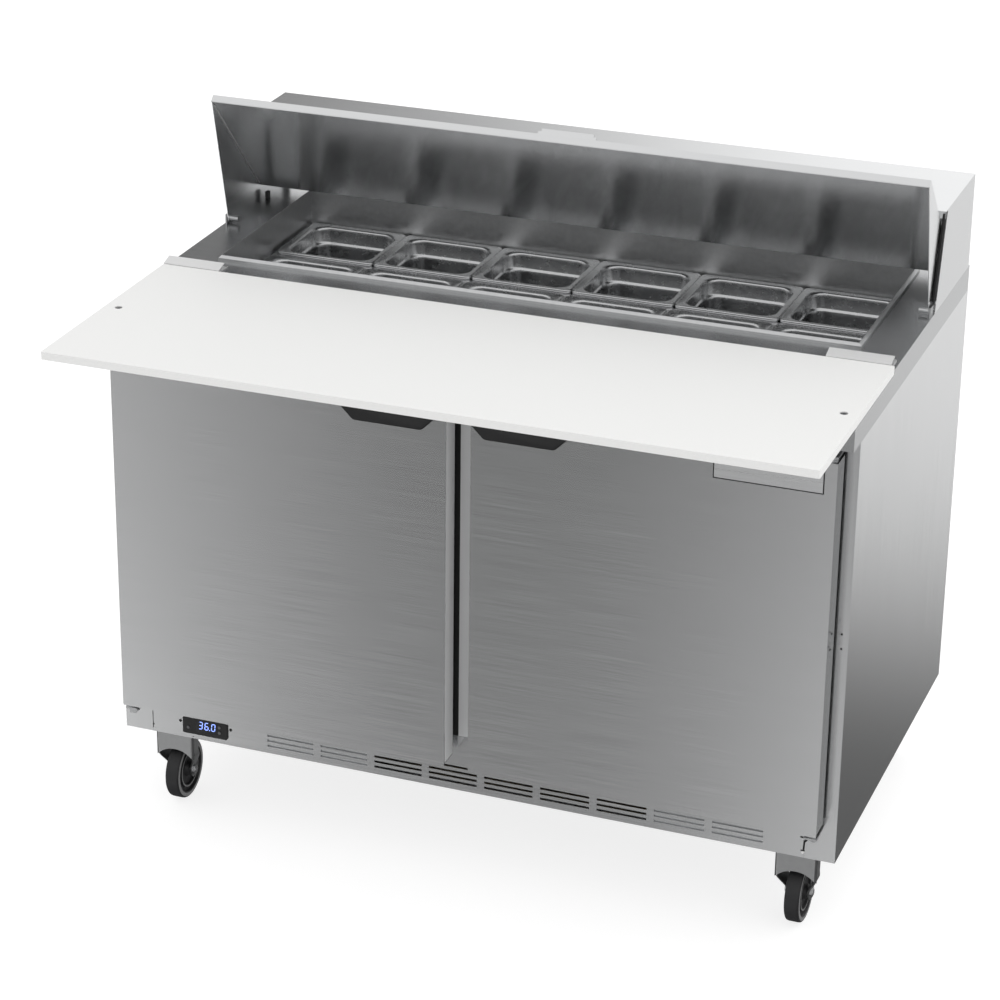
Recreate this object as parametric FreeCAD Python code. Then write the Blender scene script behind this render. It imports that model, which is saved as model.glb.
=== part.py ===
"""Sandwich prep table: a two-door refrigerated cabinet on casters, with a row of food pans
under a hinged lid and a full-width cutting board in front of them.

Millimetres, +Z up, +X to the user's right, +Y to the back. Origin: floor level, at the centre
of the whole object's footprint. While a shape is being made, Y is measured from the cabinet's
front face; export() moves it into the final frame.
"""
import FreeCAD, Part
import math
import os

V = FreeCAD.Vector
X_AXIS, Y_AXIS, Z_AXIS = V(1, 0, 0), V(0, 1, 0), V(0, 0, 1)

# ---------------------------------------------------------------- driving dimensions
WIDTH = 1219.0              # cabinet width
DEPTH = 696.0               # cabinet front face to back
BOARD_REACH = 235.5         # how far the cutting board stands out in front of the cabinet
CABINET_Z = 135.0           # underside of the cabinet, on 4 in casters
APRON_Z = 841.5             # underside of the worktop's turned-down edge
WORKTOP_Z = 885.6           # worktop surface
HOOD_Z = 1044.2             # top of the rear hood
SHEET = 1.5                 # steel sheet
WALL = 50.0                 # insulated wall
GAP = 0.3                   # clearance between pieces that move apart

HALF = WIDTH / 2
INNER = HALF - SHEET        # inside of the side skins
BACK_IN = DEPTH - SHEET     # inside of the back skin
FRONT_Y = (BOARD_REACH - DEPTH) / 2

# doors
DOOR_Z = (205.8, 823.0)     # bottom and top
DOOR_FACE_Y = -48.5
DOOR_BACK_Y = -10.0
DOOR_INNER_X = 20.0         # meeting edge, from the centre line
DOOR_OUTER_X = 589.3
DOOR_SKIN = 1.0
HINGE_X, HINGE_Y = 577.0, -30.0
HINGE_PIN_R = 4.0
RUNNING = 0.06              # radial clearance of a running fit
GRIP_X = 109.0              # centre of the pull, from the centre line
GRIP_BOTTOM_W = 113.0
GRIP_Z = (784.5, 806.0, 816.0)   # lower edge, end of the flare, top
GRIP_REACH = 22.0           # how far the pull stands out from the door's face
GRIP_WALL = 3.0

# cabinet opening and interior
POST_W = 30.0               # half width of the centre post
CAVITY_X = HALF - SHEET - WALL
CAVITY_Z = (250.0, 770.0)
FRAME_D = 40.0              # depth of the front frame
STEP_Z = 480.0              # the cavity is shallower below this height
LOW_BACK_Y, HIGH_BACK_Y = 430.0, 641.0
FLOOR_Z = 206.4             # underside of the insulated floor
GRILLE_TOP_Z = 233.3
GRILLE_HALF = 560.0
STILE_W = HALF - DOOR_OUTER_X

# pan well
WELL_X = 536.0
WELL_Y = (262.0, 629.0)
RIM_H, RIM_W = 8.0, 5.0
RIM_SLOPE = 4.2                # chamfer along the rim's outer top edge
WELL_BOTTOM_Z = 728.0
PAN_TOP_Z = 835.0
PAN_W, PAN_D, PAN_H = 176.0, 162.0, 100.0
PAN_PITCH = 177.0
PAN_COLUMNS = 6
PAN_LIP = 5.0               # turned-down edge of the pan's flange
PAN_WALL = 0.9
ROW_Y = {"front": 363.0, "rear": 545.0}
LEDGE_Z = PAN_TOP_Z - PAN_LIP - GAP

# cutting board
BOARD_Y = (-BOARD_REACH, 192.2)
BOARD_Z = (878.6, 891.3)
BOARD_PIN = (586.0, -18.0)
BOARD_PIN_R = 6.0
LEDGE_TOP_Z = BOARD_Z[0] - GAP
APRON_Y = -41.0
STEP_Y = 193.0

# lid: section in the Y-Z plane, open
LID_HALF = 603.8
LID_PIVOT = (437.0, 894.0)
LID_TIP = (375.0, 1116.0)   # inner corner of the front edge
LID_LEAN = 42.9             # degrees from the vertical
LID_LENGTH = 275.0
LID_THICK = 12.5
LID_SKIN = 1.2
FLANGE_X = (-34.0, 64.0)       # ends of the lid's lifting flange
FLANGE_H, FLANGE_T = 10.0, 3.0
LID_PIN_R = 4.0
CHEEK_R = 7.9               # round corner of the cheek about the pivot

# hood
HOOD_FRONT_Y, HOOD_BACK_Y = 482.0, 688.0
HOOD_LIP = 12.0

# casters
WHEEL_R, WHEEL_W = 50.8, 24.0
CASTER_X = (-526.0, 546.0)
CASTER_Y = (62.0, DEPTH - 62.0)
TRAIL = 19.0                # swivel axis to wheel axle
HORN_Y = (-53.0, 26.0)      # front and back of the swivel horn, from its axis
HORN_HALF = 34.0            # half width of the horn at its crown
HORN_DEPTH = 27.0             # depth of each leg under the crown
HORN_KNEE_Z = 84.0          # below this height the legs close in on the wheel
HORN_FOOT_X = 20.0          # half width of the horn at the axle
HORN_ARCH_Z = 92.0          # lower edge of the horn's front wall
HORN_T = 2.5                # sheet thickness of the horn
PLATE_T = 3.2
RACE_Z = 125.0              # underside of the fixed bearing race
AXLE_R = 4.8


# ---------------------------------------------------------------- helpers
def box(x, y, z):
    """Box between (low, high) pairs."""
    return Part.makeBox(x[1] - x[0], y[1] - y[0], z[1] - z[0], V(x[0], y[0], z[0]))


def sheet(x, y, z, t=SHEET):
    """Box shrunk by a sheet's thickness on every side: the inside of a hollow box."""
    return box((x[0] + t, x[1] - t), (y[0] + t, y[1] - t), (z[0] + t, z[1] - t))


def cylinder(r, length, base, axis=Z_AXIS):
    return Part.makeCylinder(r, length, V(*base), axis)


def fuse(shapes):
    first, rest = shapes[0], shapes[1:]
    return first.multiFuse(rest).removeSplitter() if rest else first


def both_sides(shape):
    """A shape and its mirror image in the centre plane."""
    return [shape, shape.mirror(V(0, 0, 0), X_AXIS)]


def prism_x(points, x0, x1):
    """Extrude a closed (y, z) outline from x0 to x1."""
    wire = Part.makePolygon([V(x0, y, z) for y, z in points + points[:1]])
    return Part.Face(wire).extrude(V(x1 - x0, 0, 0))


def prism_y(points, y0, y1):
    """Extrude a closed (x, z) outline from y0 to y1."""
    wire = Part.makePolygon([V(x, y0, z) for x, z in points + points[:1]])
    return Part.Face(wire).extrude(V(0, y1 - y0, 0))


def rounded_rect(width, depth, radius, centre, z):
    """Horizontal wire: a rectangle with round corners."""
    cx, cy = centre
    hx, hy = width / 2, depth / 2
    edges, corners = [], []
    for sx, sy, start in ((1, 1, 0), (-1, 1, 90), (-1, -1, 180), (1, -1, 270)):
        mid = V(cx + sx * (hx - radius), cy + sy * (hy - radius), z)
        at = [mid + V(radius * math.cos(math.radians(start + a)),
                      radius * math.sin(math.radians(start + a)), 0) for a in (0, 45, 90)]
        corners.append(at)
    for i, at in enumerate(corners):
        edges.append(Part.Arc(*at).toShape())
        edges.append(Part.makeLine(at[2], corners[(i + 1) % 4][0]))
    return Part.Wire(edges)


def rounded_plate(width, depth, radius, centre, z0, z1):
    return Part.Face(rounded_rect(width, depth, radius, centre, z0)).extrude(V(0, 0, z1 - z0))


def export(name, shape):
    """Write one node, moved so that Y starts at the middle of the footprint."""
    solids = [solid for solid in shape.Solids if solid.Volume > 1.0]
    out = solids[0].copy() if len(solids) == 1 else Part.makeCompound(solids)
    out.translate(V(0, FRONT_Y, 0))
    out.exportStep(f"parts/{name}.step")
    print(f"{name}: {len(solids)} solid(s), valid {out.isValid()}")


# ---------------------------------------------------------------- outer skins
def side_panel(sign):
    """One side skin with its front return: a narrow stile, wider beside the grille."""
    skin = box((INNER, HALF), (0, BACK_IN), (CABINET_Z, APRON_Z))
    stile = box((HALF - STILE_W, INNER), (0, SHEET), (GRILLE_TOP_Z, APRON_Z))
    foot = box((GRILLE_HALF + GAP, INNER), (0, SHEET), (CABINET_Z, GRILLE_TOP_Z))
    panel = fuse([skin, stile, foot])
    return panel if sign > 0 else panel.mirror(V(0, 0, 0), X_AXIS)


def back_panel():
    """Rear skin, with rows of vents behind the condensing unit and a hole for the lead."""
    panel = box((-HALF, HALF), (BACK_IN, DEPTH), (CABINET_Z, APRON_Z))
    vents = []
    for group_x in (60.0, 250.0, 440.0):
        for row in range(12):
            z = 200.0 + 20.0 * row
            vents.append(box((group_x - 80, group_x + 80), (BACK_IN - 1, DEPTH + 1), (z, z + 6)))
    hole = cylinder(9.0, 4.0, (-480.0, BACK_IN - 1, 190.0), Y_AXIS)
    return panel.cut(Part.makeCompound(vents + [hole]))


def cord_gland():
    """Strain-relief bush in the rear skin."""
    body = cylinder(9.0, 12.0, (-480.0, BACK_IN - 11.0, 190.0), Y_AXIS)
    flange = cylinder(13.0, 2.5, (-480.0, BACK_IN - 2.5, 190.0), Y_AXIS)
    return fuse([body, flange]).cut(cylinder(4.0, 20.0, (-480.0, BACK_IN - 14, 190.0), Y_AXIS))


def base_pan():
    """Floor sheet with two stiffening channels that carry the casters."""
    floor = box((-INNER, INNER), (SHEET, BACK_IN), (CABINET_Z, CABINET_Z + SHEET))
    channels = []
    for y in CASTER_Y:
        for side in (-1, 1):
            edge = y + side * 46.0
            channels.append(box((-INNER, INNER), (edge - 1, edge + 1), (CABINET_Z, CABINET_Z + 12)))
    return fuse([floor] + channels)


# ---------------------------------------------------------------- insulated cabinet
def cavity_solid(grow=0.0):
    """The refrigerated space, larger by grow on every side but the front."""
    high = box((-CAVITY_X - grow, CAVITY_X + grow), (FRAME_D, HIGH_BACK_Y + grow),
               (STEP_Z - grow, CAVITY_Z[1] + grow))
    low = box((-CAVITY_X - grow, CAVITY_X + grow), (FRAME_D, LOW_BACK_Y + grow),
              (CAVITY_Z[0] - grow, STEP_Z + grow))
    return fuse([high, low])


def well_cut(grow, z):
    """Block that clears the pan well's walls."""
    return box((-WELL_X - grow, WELL_X + grow), (WELL_Y[0] - grow, WELL_Y[1] + grow), z)


def cabinet_liner():
    """Stepped inner box, open in front and under the pan well, with the shelf's rear post."""
    liner = cavity_solid(1.0).cut(cavity_solid())
    liner = liner.cut(well_cut(1.0 + GAP, (CAVITY_Z[1] - 5, CAVITY_Z[1] + 5)))
    post = box((-12, 12), (HIGH_BACK_Y - 16, HIGH_BACK_Y), (STEP_Z, SHELF_Z + 20))
    rests = []
    for x in (-CAVITY_X, CAVITY_X - 9):
        for y in (90.0, 400.0):
            rests.append(box((x, x + 9), (y, y + 24), (SHELF_Z - 12, SHELF_Z - GAP)))
    rests.append(box((-34, 34), (HIGH_BACK_Y - 30, HIGH_BACK_Y - 16), (SHELF_Z - 12, SHELF_Z - GAP)))
    return fuse([liner, post] + rests)


def insulation():
    """Foam between the skins and the liner, round the well, and none round the machinery."""
    foam = box((-INNER, INNER), (FRAME_D, BACK_IN), (FLOOR_Z, APRON_Z))
    collar = box((-INNER, INNER), (APRON_Y + SHEET, BACK_IN), (APRON_Z + SHEET, LEDGE_TOP_Z - SHEET))
    collar = collar.fuse(box((-INNER, INNER), (STEP_Y + SHEET, BACK_IN),
                             (LEDGE_TOP_Z - SHEET, WORKTOP_Z - SHEET)))
    collar = collar.cut(box((-HALF, HALF), (-60, FRAME_D), (APRON_Z - 1, APRON_Z + SHEET)))
    machinery = box((-HALF, HALF), (LOW_BACK_Y + WALL, DEPTH), (CABINET_Z, STEP_Z - WALL))
    low_top = box((-HALF, HALF), (FRAME_D - 1, DEPTH), (APRON_Z, APRON_Z + SHEET))
    foam = foam.fuse(collar).fuse(low_top.common(box((-INNER, INNER), (FRAME_D, BACK_IN),
                                                     (APRON_Z, APRON_Z + SHEET))))
    foam = foam.cut(cavity_solid(1.0)).cut(machinery)
    return foam.cut(well_cut(1.0, (CAVITY_Z[1] - 5, WORKTOP_Z + 1))).removeSplitter()


def front_frame():
    """Heated breaker frame round the two door openings, with the centre post."""
    frame = box((-INNER, INNER), (SHEET, FRAME_D), (FLOOR_Z, APRON_Z))
    face = box((-HALF + STILE_W + GAP, HALF - STILE_W - GAP), (0, SHEET),
               (GRILLE_TOP_Z + GAP, APRON_Z))
    frame = frame.fuse(face)
    for x in ((-CAVITY_X, -POST_W), (POST_W, CAVITY_X)):
        frame = frame.cut(box(x, (-1, FRAME_D + 1), CAVITY_Z))
    rest = box((-34, 34), (FRAME_D, FRAME_D + 30), (SHELF_Z - 12, SHELF_Z - GAP))
    return frame.fuse(rest).removeSplitter()


GRILLE_GROUPS = 9
GRILLE_PITCH = 95.25
GRILLE_START_X = -350.8
SLOT_LENGTH, SLOT_H = 82.6, 3.8
SLOT_Z = (148.8, 158.05, 167.3, 176.6)
CONTROL_X = (-503.5, -423.0)
CONTROL_Z = (145.0, 174.0)


def grille_panel():
    """Kick panel with groups of air slots and a cut-out for the controller."""
    panel = box((-GRILLE_HALF, GRILLE_HALF), (0, SHEET), (CABINET_Z, GRILLE_TOP_Z))
    cuts = [box((CONTROL_X[0] + 3, CONTROL_X[1] - 3), (-1, 3), (CONTROL_Z[0] + 3, CONTROL_Z[1] - 3))]
    for group in range(GRILLE_GROUPS):
        x = GRILLE_START_X + group * GRILLE_PITCH
        for z in SLOT_Z:
            cuts.append(box((x, x + SLOT_LENGTH), (-1, 3), (z - SLOT_H / 2, z + SLOT_H / 2)))
    return panel.cut(Part.makeCompound(cuts))


# ---------------------------------------------------------------- wire shelves
SHELF_Z = 522.0
SHELF_X = (42.0, CAVITY_X - 3.0)
SHELF_Y = (FRAME_D + 8.0, HIGH_BACK_Y - 22.0)
WIRE_R = 2.0


def wire_shelf(sign):
    """Flat wire shelf: a frame rod, cross wires and two stiffeners, welded together."""
    rod = 3.0
    x0, x1 = SHELF_X
    y0, y1 = SHELF_Y
    z = SHELF_Z + rod
    bars = [box((x0, x1), (y, y + 2 * rod), (SHELF_Z, SHELF_Z + 2 * rod))
            for y in (y0, y1 - 2 * rod)]
    bars += [box((x, x + 2 * rod), (y0, y1), (SHELF_Z, SHELF_Z + 2 * rod))
             for x in (x0, x1 - 2 * rod)]
    for i in range(1, 20):
        x = x0 + (x1 - x0) * i / 20
        bars.append(cylinder(WIRE_R, y1 - y0 - 2 * rod, (x, y0 + rod, z + 1.0), Y_AXIS))
    bars.append(box((x0, x1), ((y0 + y1) / 2 - rod, (y0 + y1) / 2 + rod), (SHELF_Z, SHELF_Z + 5)))
    shelf = fuse(bars)
    return shelf if sign > 0 else shelf.mirror(V(0, 0, 0), X_AXIS)


# ---------------------------------------------------------------- worktop, well and pans
def worktop():
    """Folded steel top: lower ledge for the board, raised deck with the well's cut-out, aprons."""
    deck = box((-HALF, HALF), (STEP_Y, DEPTH), (WORKTOP_Z - SHEET, WORKTOP_Z))
    deck = deck.cut(well_cut(1.0, (WORKTOP_Z - 5, WORKTOP_Z + 5)))
    riser = box((-HALF, HALF), (STEP_Y, STEP_Y + SHEET), (LEDGE_TOP_Z - SHEET, WORKTOP_Z))
    ledge = box((-HALF, HALF), (APRON_Y, STEP_Y + SHEET), (LEDGE_TOP_Z - SHEET, LEDGE_TOP_Z))
    front = box((-HALF, HALF), (APRON_Y, APRON_Y + SHEET), (APRON_Z, LEDGE_TOP_Z))
    under = box((-HALF, HALF), (APRON_Y, FRAME_D), (APRON_Z, APRON_Z + SHEET))
    back = box((-HALF, HALF), (BACK_IN, DEPTH), (APRON_Z, WORKTOP_Z))
    sides = both_sides(box((INNER, HALF), (APRON_Y, STEP_Y + SHEET), (APRON_Z, LEDGE_TOP_Z)))
    sides += both_sides(box((INNER, HALF), (STEP_Y, DEPTH), (APRON_Z, WORKTOP_Z)))
    return fuse([deck, riser, ledge, front, under, back] + sides)


def pan_well():
    """Well walls with a bright raised rim on top and the ledge that carries the pans."""
    inner = well_cut(0.0, (WELL_BOTTOM_Z - 1, WORKTOP_Z + RIM_H + 1))
    walls = well_cut(1.0, (WELL_BOTTOM_Z, WORKTOP_Z + RIM_H)).cut(inner)
    rim = well_cut(RIM_W, (WORKTOP_Z, WORKTOP_Z + RIM_H))
    crest = [e for e in rim.Edges if e.BoundBox.ZMin > WORKTOP_Z + RIM_H - 0.1]
    rim = rim.makeChamfer(RIM_SLOPE, crest).cut(inner)
    ledge = well_cut(1.0, (LEDGE_Z - 1.5, LEDGE_Z))
    pans_y = (ROW_Y["front"] - PAN_D / 2, ROW_Y["rear"] + PAN_D / 2)
    half = PAN_PITCH * PAN_COLUMNS / 2
    ledge = ledge.cut(box((-half + 7, half - 7), (pans_y[0] + 7, pans_y[1] - 7),
                          (LEDGE_Z - 5, LEDGE_Z + 5)))
    return fuse([walls, rim, ledge])


def divider_bars():
    """Bars that carry the pans' edges: one along the well, the rest across it."""
    top = LEDGE_Z
    seam_y = (ROW_Y["front"] + ROW_Y["rear"]) / 2
    bars = [box((-WELL_X, WELL_X), (seam_y - 8, seam_y + 8), (top - 14, top - 1.5)),
            box((-WELL_X + 12, WELL_X - 12), (seam_y - 14, seam_y + 14), (top - 1.5, top))]
    for i in range(1, PAN_COLUMNS):
        x = (i - PAN_COLUMNS / 2) * PAN_PITCH
        bars.append(box((x - 5, x + 5), (WELL_Y[0] + 36, WELL_Y[1] - 12), (top - 9, top)))
    return fuse(bars)


def food_pan(column, row):
    """Sixth-size pan: tapered body with round corners under a flat turned-down flange."""
    centre = ((column - (PAN_COLUMNS - 1) / 2) * PAN_PITCH, ROW_Y[row])
    top, bottom = PAN_TOP_Z, PAN_TOP_Z - PAN_H
    brim = 10.0
    taper = 8.0

    def body(t, low):
        sections = [rounded_rect(PAN_W - 2 * (brim + t), PAN_D - 2 * (brim + t), 22 - t, centre, top),
                    rounded_rect(PAN_W - 2 * (brim + taper + t), PAN_D - 2 * (brim + taper + t),
                                 22 - t, centre, low)]
        return Part.makeLoft(sections, True, True)

    flange = rounded_plate(PAN_W, PAN_D, 9.0, centre, top - 1.0, top)
    lip = rounded_plate(PAN_W, PAN_D, 9.0, centre, top - PAN_LIP, top)
    lip = lip.cut(rounded_plate(PAN_W - 2, PAN_D - 2, 8.0, centre, top - PAN_LIP - 1, top + 1))
    pan = fuse([flange, lip, body(0.0, bottom)])
    return pan.cut(body(PAN_WALL, bottom + PAN_WALL))


# ---------------------------------------------------------------- cutting board and its hardware
def cutting_board():
    board = box((-HALF, HALF), BOARD_Y, BOARD_Z)
    edges = [e for e in board.Edges if abs(e.BoundBox.ZLength) > 1]
    board = board.makeFillet(3.0, edges)
    for x in (-BOARD_PIN[0], BOARD_PIN[0]):
        board = board.cut(cylinder(BOARD_PIN_R + GAP, 20.0, (x, BOARD_PIN[1], BOARD_Z[0] - 2)))
    return board


def board_supports():
    """Two cantilever arms under the overhanging board, and the board's locating pins."""
    pieces = []
    top = LEDGE_TOP_Z
    for x in (-430.0, 430.0):
        arm = prism_x([(APRON_Y, top), (-205.0, top), (-205.0, top - 12), (APRON_Y, top - 34)],
                      x - 1.5, x + 1.5)
        pad = box((x - 15, x + 15), (-205.0, APRON_Y), (top - 2.5, top))
        plate = box((x - 15, x + 15), (APRON_Y - 2.5, APRON_Y), (top - 34, top))
        pieces.append(fuse([arm, pad, plate]))
    for x in (-BOARD_PIN[0], BOARD_PIN[0]):
        pieces.append(cylinder(BOARD_PIN_R, BOARD_Z[1] - top - 1.0, (x, BOARD_PIN[1], top)))
    return Part.makeCompound(pieces)


CLIP_X = ((-609.6, -510.0), (502.0, 603.5))   # ends of the left and right board stops


def board_clips():
    """Bent-sheet stops screwed to the deck behind each end of the board."""
    y = (STEP_Y + GAP, 228.0)
    clips = []
    for x in CLIP_X:
        foot = box(x, y, (WORKTOP_Z, WORKTOP_Z + 2))
        nose = box(x, (y[0], y[0] + 2), (WORKTOP_Z, WORKTOP_Z + 6))
        plate = prism_x([(y[0], WORKTOP_Z + 5), (y[0] + 21, WORKTOP_Z + 11), (y[0] + 21, WORKTOP_Z + 13),
                         (y[0], WORKTOP_Z + 7)], *x)
        clips.append(fuse([foot, nose, plate]))
    return Part.makeCompound(clips)


# ---------------------------------------------------------------- hood and lid
def hood():
    """Rear cover: top with a turned-down front lip, back and raked sides."""
    top = box((-HALF, HALF), (HOOD_FRONT_Y, HOOD_BACK_Y), (HOOD_Z - SHEET, HOOD_Z))
    lip = box((-HALF, HALF), (HOOD_FRONT_Y, HOOD_FRONT_Y + SHEET), (HOOD_Z - HOOD_LIP, HOOD_Z))
    back = box((-HALF, HALF), (HOOD_BACK_Y - SHEET, HOOD_BACK_Y), (WORKTOP_Z, HOOD_Z))
    side = prism_x([(451, WORKTOP_Z), (494, HOOD_Z - SHEET), (HOOD_BACK_Y, HOOD_Z - SHEET),
                    (HOOD_BACK_Y, WORKTOP_Z)], INNER, HALF)
    return fuse([top, lip, back] + both_sides(side))


def lid_vectors():
    """Unit vectors of the open lid's section: down the panel, and from inside to outside."""
    lean = math.radians(LID_LEAN)
    down = (math.sin(lean), -math.cos(lean))
    out = (math.cos(lean), math.sin(lean))
    return down, out


def lid_point(along, across):
    """Section point: along the panel from its front edge, across from its inner face."""
    down, out = lid_vectors()
    return (LID_TIP[0] + along * down[0] + across * out[0],
            LID_TIP[1] + along * down[1] + across * out[1])


def lid_slab(along, across, x):
    """A slab of the lid's section between two (low, high) pairs."""
    corners = [lid_point(a, c) for a, c in
               ((along[0], across[0]), (along[1], across[0]), (along[1], across[1]), (along[0], across[1]))]
    return prism_x(corners, *x)


def lid_shell():
    """Outer skin with its four edges folded in, two cheeks, and the lifting flange along the front."""
    t = LID_SKIN
    x = (-LID_HALF, LID_HALF)
    shell = lid_slab((0, LID_LENGTH), (0, LID_THICK), x)
    shell = shell.cut(lid_slab((t, LID_LENGTH - t), (-1, LID_THICK - t), (x[0] + t, x[1] - t)))
    py, pz = LID_PIVOT
    corner = [(py + CHEEK_R * math.cos(math.radians(a)), pz + CHEEK_R * math.sin(math.radians(a)))
              for a in range(-80, -201, -20)]
    cheek_outline = [lid_point(1.0, 0.5), lid_point(LID_LENGTH - 1, 0.5)] + corner
    cheek = prism_x(cheek_outline, LID_HALF - t, LID_HALF)
    hole = cylinder(LID_PIN_R + RUNNING, 20.0, (LID_HALF - 10, py, pz), X_AXIS)
    cheek = cheek.cut(hole)
    foot = lid_slab((0, FLANGE_T), (LID_THICK - t, LID_THICK + FLANGE_H / 2), FLANGE_X)
    brow_x = (FLANGE_X[0] + FLANGE_H / 2, FLANGE_X[1] - FLANGE_H / 2)
    brow = lid_slab((0, FLANGE_T), (LID_THICK, LID_THICK + FLANGE_H), brow_x)
    return fuse([shell, foot, brow] + both_sides(cheek))


def lid_core():
    """Foam inside the lid."""
    t = LID_SKIN
    edge = (-LID_HALF + t, LID_HALF - t)
    return lid_slab((t, LID_LENGTH - t), (t, LID_THICK - t), edge)


def lid_liner():
    """Inner skin of the lid."""
    t = LID_SKIN
    return lid_slab((t, LID_LENGTH - t), (0, t), (-LID_HALF + t, LID_HALF - t))


# ---------------------------------------------------------------- doors
def door_span(sign):
    return (DOOR_INNER_X, DOOR_OUTER_X) if sign > 0 else (-DOOR_OUTER_X, -DOOR_INNER_X)


def door_skin(sign):
    """Steel door pan and inner liner as one closed skin, bored for the hinge pins."""
    x = door_span(sign)
    skin = box(x, (DOOR_FACE_Y, DOOR_BACK_Y), DOOR_Z)
    skin = skin.cut(sheet(x, (DOOR_FACE_Y, DOOR_BACK_Y), DOOR_Z, DOOR_SKIN))
    pins = [cylinder(HINGE_PIN_R + RUNNING, 10.0, (sign * HINGE_X, HINGE_Y, z - 5)) for z in DOOR_Z]
    return skin.cut(Part.makeCompound(pins))


def door_core(sign):
    """Foam filling, with pockets for the hinge pins."""
    core = sheet(door_span(sign), (DOOR_FACE_Y, DOOR_BACK_Y), DOOR_Z, DOOR_SKIN)
    pins = [cylinder(HINGE_PIN_R + 1.0, 40.0, (sign * HINGE_X, HINGE_Y, z - 20)) for z in DOOR_Z]
    return core.cut(Part.makeCompound(pins))


def grip_outline(sign, inset):
    """Outline of the pull: a flat lower edge, sides flaring at 45 degrees, then upright."""
    x = sign * GRIP_X
    low_z, flare_z, top_z = GRIP_Z
    low = GRIP_BOTTOM_W / 2 - inset
    high = GRIP_BOTTOM_W / 2 + flare_z - low_z - inset
    return [(x - low, low_z - 1), (x + low, low_z - 1), (x + high, flare_z), (x + high, top_z - inset),
            (x - high, top_z - inset), (x - high, flare_z)]


def door_grip(sign):
    """Black pull under the door's top edge: a hood open downwards, with a flat front lip."""
    front = DOOR_FACE_Y - GRIP_REACH
    hood = prism_y(grip_outline(sign, 0.0), front, DOOR_FACE_Y)
    hollow = prism_y(grip_outline(sign, GRIP_WALL), front + GRIP_WALL, DOOR_FACE_Y + 1)
    below = box((sign * GRIP_X - 100, sign * GRIP_X + 100), (front - 1, DOOR_FACE_Y + 1),
                (GRIP_Z[0] - 5, GRIP_Z[0]))
    return hood.cut(hollow).cut(below)


def door_gasket(sign):
    """Magnetic seal round the back of the door."""
    x0, x1 = DOOR_INNER_X + 5.0, 575.0
    width = 15.0
    z0, z1 = GRILLE_TOP_Z + 1.0, DOOR_Z[1] - 8.0
    ring = box((x0, x1), (DOOR_BACK_Y, -GAP), (z0, z1))
    ring = ring.cut(box((x0 + width, x1 - width), (DOOR_BACK_Y - 1, 1), (z0 + width, z1 - width)))
    return ring if sign > 0 else ring.mirror(V(0, 0, 0), X_AXIS)


def badge_plate():
    """Plain blank plate on the right door."""
    return box((404.0, 569.0), (DOOR_FACE_Y - 1.0, DOOR_FACE_Y), (774.0, 806.0))


BRACKET_X = (568.0, 588.0)
LEFT_TAB = [(-604, 195), (-584, 195), (-586, 172), (-590, 163), (-600, 163), (-603, 170)]
RIGHT_TAB = [(567, 195), (586, 195), (582, 176), (580, 169), (576, 166), (571, 166), (568, 169)]
BRACKET_T = 3.0
BRACKET_LOW_Z = 195.0              # top of the lower plates
COLLAR_R = 8.0
PIN_DEPTH = 14.0                   # how far a hinge pin reaches into the door


def door_bracket(plate_z, door_z, sign):
    """Plate with a hinge pin that points up (sign 1) or down (-1) into the door."""
    plate = box(BRACKET_X, (HINGE_Y - 12, 0), (plate_z, plate_z + BRACKET_T))
    start = plate_z + BRACKET_T if sign > 0 else plate_z
    base = (HINGE_X, HINGE_Y, start)
    pin = cylinder(HINGE_PIN_R, sign * (door_z - start) + PIN_DEPTH, base, Z_AXIS * sign)
    collar = cylinder(COLLAR_R, sign * (door_z - start) - GAP, base, Z_AXIS * sign)
    return fuse([plate, pin, collar])


def hinge_brackets():
    """Fixed hinge hardware: a pinned bracket above and below each door, an ear for each lid pin."""
    high_z = DOOR_Z[1] + 5
    lower = both_sides(door_bracket(BRACKET_LOW_Z - BRACKET_T, DOOR_Z[0], 1))
    tabs = [prism_y(outline, -BRACKET_T, 0) for outline in (RIGHT_TAB, LEFT_TAB)]
    pieces = [fuse(pair) for pair in zip(lower, tabs)]
    leg = box(BRACKET_X, (-BRACKET_T, 0), (high_z, APRON_Z - GAP))
    pieces += both_sides(fuse([door_bracket(high_z, DOOR_Z[1], -1), leg]))
    py, pz = LID_PIVOT
    ear_x = (INNER - 3.0, INNER - 0.5)
    ear = box(ear_x, (py - 9, py + 9), (WORKTOP_Z, pz + 8))
    foot = box(ear_x, (py - 9, py + 20), (WORKTOP_Z, WORKTOP_Z + 3))
    pin = cylinder(LID_PIN_R, 20.0, (INNER - 21.0, py, pz), X_AXIS)
    pieces += both_sides(fuse([ear, foot, pin]))
    return Part.makeCompound(pieces)


# ---------------------------------------------------------------- controller
BUTTONS = {"menu_button": (-493.6, 156.1), "up_button": (-436.6, 166.1), "down_button": (-436.6, 156.0)}
BUTTON_R = 2.6
BUTTON_TRAVEL = 0.8


def controller():
    """Thermostat: bezel in front of the kick panel, housing behind it, button wells."""
    bezel = box(CONTROL_X, (-3.0, -0.0), CONTROL_Z)
    edges = [e for e in bezel.Edges if abs(e.BoundBox.YLength) > 1]
    bezel = bezel.makeFillet(2.0, edges)
    housing = box((CONTROL_X[0] + 3.2, CONTROL_X[1] - 3.2), (-0.5, 55.0),
                  (CONTROL_Z[0] + 3.2, CONTROL_Z[1] - 3.2))
    body = fuse([bezel, housing])
    wells = [cylinder(BUTTON_R + 0.2, 5.0, (x, -4.0, z), Y_AXIS) for x, z in BUTTONS.values()]
    return body.cut(Part.makeCompound(wells))


def push_button(x, z):
    return cylinder(BUTTON_R, 4.0 - BUTTON_TRAVEL, (x, -4.0, z), Y_AXIS)


# ---------------------------------------------------------------- refrigeration
CONDENSER_FAN = (190.0, 625.0, 285.0)
EVAPORATOR_FAN = (0.0, 580.0, 640.0)


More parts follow.
